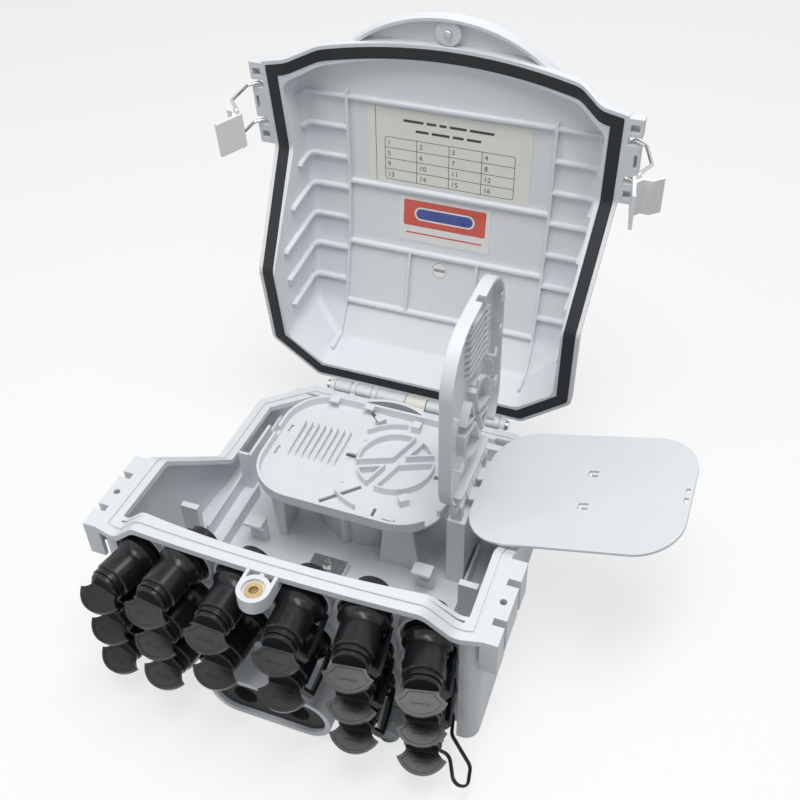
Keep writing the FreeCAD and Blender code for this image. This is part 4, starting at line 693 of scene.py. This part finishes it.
class TERMBOX_OT_label(bpy.types.Operator):
    """Print a grid with the sixteen port numbers on the paper label"""

    bl_idname = "termbox.label"
    bl_label = "Port label"

    COLUMNS = 4
    ROWS = 4
    LEFT_MARGIN = 15 * MM
    RIGHT_MARGIN = 13 * MM
    BELOW = 2.4 * MM
    ROW = 9.6 * MM
    RULE = 7.4 * MM
    CORNER = 2.4 * MM
    INK_LOW = 0.02 * MM
    INK_HIGH = 0.07 * MM
    NUMBER_X = 2.2 * MM
    NUMBER_Y = 2.6 * MM
    DIGIT_SHARE = 0.7
    TITLE_LINE = 2.2 * MM
    TITLE_GAP = 2.6 * MM
    TITLES = ((16.0 * MM, (17, 8, 6, 14, 20)), (8.0 * MM, (11, 15, 9, 12)))

    def add_number(self, shape, number, size, place):
        """Add a number as flat ink."""
        text = bpy.data.curves.new("number", "FONT")
        text.body = str(number)
        text.size = size
        text.extrude = self.INK_HIGH / 2
        holder = bpy.data.objects.new("number", text)
        inked = bpy.data.meshes.new_from_object(holder)
        inked.transform(place)
        shape.from_mesh(inked)
        bpy.data.objects.remove(holder)
        bpy.data.curves.remove(text)
        bpy.data.meshes.remove(inked)

    def add_grid(self, shape, look, grid, width, height):
        """Add the frame, the lines and the numbers of the port table."""
        ink = (self.INK_LOW, self.INK_HIGH)
        cell = width / self.COLUMNS
        rounded_frame(shape, width, height, self.CORNER, look.line, ink, grid)
        for row in range(1, self.ROWS):
            line = rectangle(0, row * self.ROW - height / 2, width - look.line, look.line)
            add_slab(shape, line, *ink, flat(grid))
        for column in range(1, self.COLUMNS):
            line = rectangle(column * cell - width / 2, 0, look.line, height - look.line)
            add_slab(shape, line, *ink, flat(grid))
        for index in range(self.ROWS * self.COLUMNS):
            row, column = divmod(index, self.COLUMNS)
            corner = Vector((column * cell - width / 2 + self.NUMBER_X,
                             height / 2 - (row + 1) * self.ROW + self.NUMBER_Y, self.INK_HIGH / 2))
            size = look.digit / self.DIGIT_SHARE
            self.add_number(shape, index + 1, size, grid @ Matrix.Translation(corner))

    def add_titles(self, shape, place, grid_top):
        """Add two lines of plain bars where a heading stands."""
        for above, words in self.TITLES:
            x = -(sum(words) * MM + self.TITLE_GAP * (len(words) - 1)) / 2
            for word in words:
                bar = rectangle(x + word * MM / 2, grid_top + above, word * MM, self.TITLE_LINE)
                add_slab(shape, bar, self.INK_LOW, self.INK_HIGH, flat(place))
                x += word * MM + self.TITLE_GAP

    def execute(self, context):
        look = context.scene.termination_box.printing
        place, (width, height) = sheet_place("adapter_label", FORWARD)
        grid_width = width - self.LEFT_MARGIN - self.RIGHT_MARGIN
        grid_height = self.ROWS * self.ROW
        grid_top = -height / 2 + self.BELOW + grid_height
        shift = (self.LEFT_MARGIN - self.RIGHT_MARGIN) / 2
        grid = place @ Matrix.Translation((shift, grid_top - grid_height / 2, 0))
        shape = bmesh.new()
        self.add_grid(shape, look, grid, grid_width, grid_height)
        self.add_titles(shape, place, grid_top)
        margin = rectangle(self.RULE - width / 2, 0, look.line, height)
        add_slab(shape, margin, self.INK_LOW, self.INK_HIGH, flat(place))
        add_piece("label_ink", shape, printed_ink("label_ink", look.ink), "lid")
        paint(label_paper("label_paper", look.paper), "adapter_label")
        return {"FINISHED"}


class TERMBOX_OT_stickers(bpy.types.Operator):
    """Print colour fields on the wide sticker and a ring on the round one"""

    bl_idname = "termbox.stickers"
    bl_label = "Stickers"

    def execute(self, context):
        look = context.scene.termination_box.printing
        paint(colour_fields("colour_print", look, *sheet_place("colour_sticker", FORWARD)), "colour_sticker")
        paint(dot_print("dot_print", look, *sheet_place("round_sticker", FORWARD)), "round_sticker")
        return {"FINISHED"}


class TERMBOX_OT_stage(bpy.types.Operator):
    """Set the floor, the lamps, the surround and the camera"""

    bl_idname = "termbox.stage"
    bl_label = "Stage"

    FLOOR_R = 6.0
    FLOOR_SIDES = 96
    FLOOR_BELOW = 0.2 * MM
    GLOW_SHARE = 0.7
    WHITE = (1, 1, 1)
    SENSOR = 36.0
    CLIP = (0.01, 50.0)

    # Each lamp's name, place, size and the setting that holds its power; all aim at one point.
    AIM = Vector((0, 0, 0.1))
    LAMPS = (("overhead", (0.2, -0.1, 1.6), (1.3, 0.5), "overhead"),
             ("front", (-1.0, -1.2, 0.8), (1.2, 1.0), "front"),
             ("strip_left", (-0.55, -0.35, 1.35), (0.1, 1.1), "strips"),
             ("strip_right", (0.45, -0.4, 1.35), (0.1, 1.1), "strips"))

    def add_floor(self, look):
        """Add a floor that is seen nearly white, keeps the shadow and throws back less light."""
        shape = bmesh.new()
        bmesh.ops.create_circle(shape, cap_ends=True, segments=self.FLOOR_SIDES, radius=self.FLOOR_R)
        floor = bpy.data.objects.new("floor", finish_mesh("floor", shape))
        floor.location.z = CAD_BOX[0].z - self.FLOOR_BELOW
        bpy.context.scene.collection.objects.link(floor)
        finish = Finish("floor")
        finish.surface(base_color=look.floor, roughness=0.9, specular_ior_level=0.1)
        glow = finish.node("ShaderNodeEmission", None, {"Color": self.WHITE, "Strength": 1.0})
        white = finish.mix_shaders(self.GLOW_SHARE, Socket(finish, finish.shader.outputs[0]), glow)
        dim = finish.node("ShaderNodeBsdfDiffuse", None, {"Color": look.bounce})
        shown = finish.mix_shaders(finish.seen(), dim, white)
        finish.feed(finish.tree.nodes["Material Output"].inputs["Surface"], shown)
        floor.data.materials.append(finish.material)

    def add_surround(self, look):
        """Light the object evenly from all sides, and show white behind it."""
        world = bpy.data.worlds.new("surround")
        world.use_nodes = True
        nodes = Nodes(world.node_tree)
        soft = nodes.node("ShaderNodeBackground", None, {"Color": look.sky, "Strength": look.surround})
        white = nodes.node("ShaderNodeBackground", None, {"Color": self.WHITE, "Strength": 1.0})
        shown = nodes.mix_shaders(nodes.seen(), soft, white)
        nodes.feed(world.node_tree.nodes["World Output"].inputs["Surface"], shown)
        bpy.context.scene.world = world

    def add_lamp(self, name, place, size, power):
        lamp = bpy.data.lights.new(name, "AREA")
        lamp.shape = "RECTANGLE"
        lamp.size, lamp.size_y = size
        lamp.energy = power
        holder = bpy.data.objects.new(name, lamp)
        holder.location = place
        holder.rotation_euler = (self.AIM - Vector(place)).to_track_quat("-Z", "Y").to_euler()
        bpy.context.scene.collection.objects.link(holder)

    def add_camera(self, look):
        data = bpy.data.cameras.new("photo_view")
        data.sensor_width = self.SENSOR
        data.lens = look.lens
        data.clip_start, data.clip_end = self.CLIP
        camera = bpy.data.objects.new("photo_view", data)
        level = Matrix.Rotation(look.azimuth, 4, "Z") @ Matrix.Rotation(math.pi / 2 - look.elevation, 4, "X")
        camera.matrix_world = Matrix.Translation(look.eye) @ level @ Matrix.Rotation(look.roll, 4, "Z")
        bpy.context.scene.collection.objects.link(camera)
        bpy.context.scene.camera = camera

    def execute(self, context):
        look = context.scene.termination_box.stage
        self.add_floor(look)
        self.add_surround(look)
        for name, place, size, power in self.LAMPS:
            self.add_lamp(name, place, size, getattr(look, power))
        self.add_camera(look)
        context.scene.view_settings.view_transform = "Standard"
        return {"FINISHED"}


STEPS = (TERMBOX_OT_housing, TERMBOX_OT_trays, TERMBOX_OT_latches, TERMBOX_OT_metal, TERMBOX_OT_rubber,
         TERMBOX_OT_caps, TERMBOX_OT_label, TERMBOX_OT_stickers, TERMBOX_OT_stage)


class TERMBOX_PT_sidebar(bpy.types.Panel):
    """Lists the settings and the steps of the termination box"""

    bl_idname = "TERMBOX_PT_sidebar"
    bl_label = "Termination box"
    bl_space_type = "VIEW_3D"
    bl_region_type = "UI"
    bl_category = "Termination Box"

    def draw(self, context):
        look = context.scene.termination_box
        for group in (look.plastic, look.metal, look.printing, look.stage):
            column = self.layout.column(align=True)
            for name in group.__annotations__:
                column.prop(group, name)
        for step in STEPS:
            self.layout.operator(step.bl_idname)


CLASSES = (PlasticLook, MetalLook, PrintLook, StageLook, BoxLook, *STEPS, TERMBOX_PT_sidebar)


def register():
    for item in CLASSES:
        bpy.utils.register_class(item)
    bpy.types.Scene.termination_box = PointerProperty(type=BoxLook)


def unregister():
    del bpy.types.Scene.termination_box
    for item in reversed(CLASSES):
        bpy.utils.unregister_class(item)


def main():
    register()
    bpy.ops.termbox.housing()
    bpy.ops.termbox.trays()
    bpy.ops.termbox.latches()
    bpy.ops.termbox.metal()
    bpy.ops.termbox.rubber()
    bpy.ops.termbox.caps()
    bpy.ops.termbox.label()
    bpy.ops.termbox.stickers()
    bpy.ops.termbox.stage()


if __name__ == "__main__":
    main()
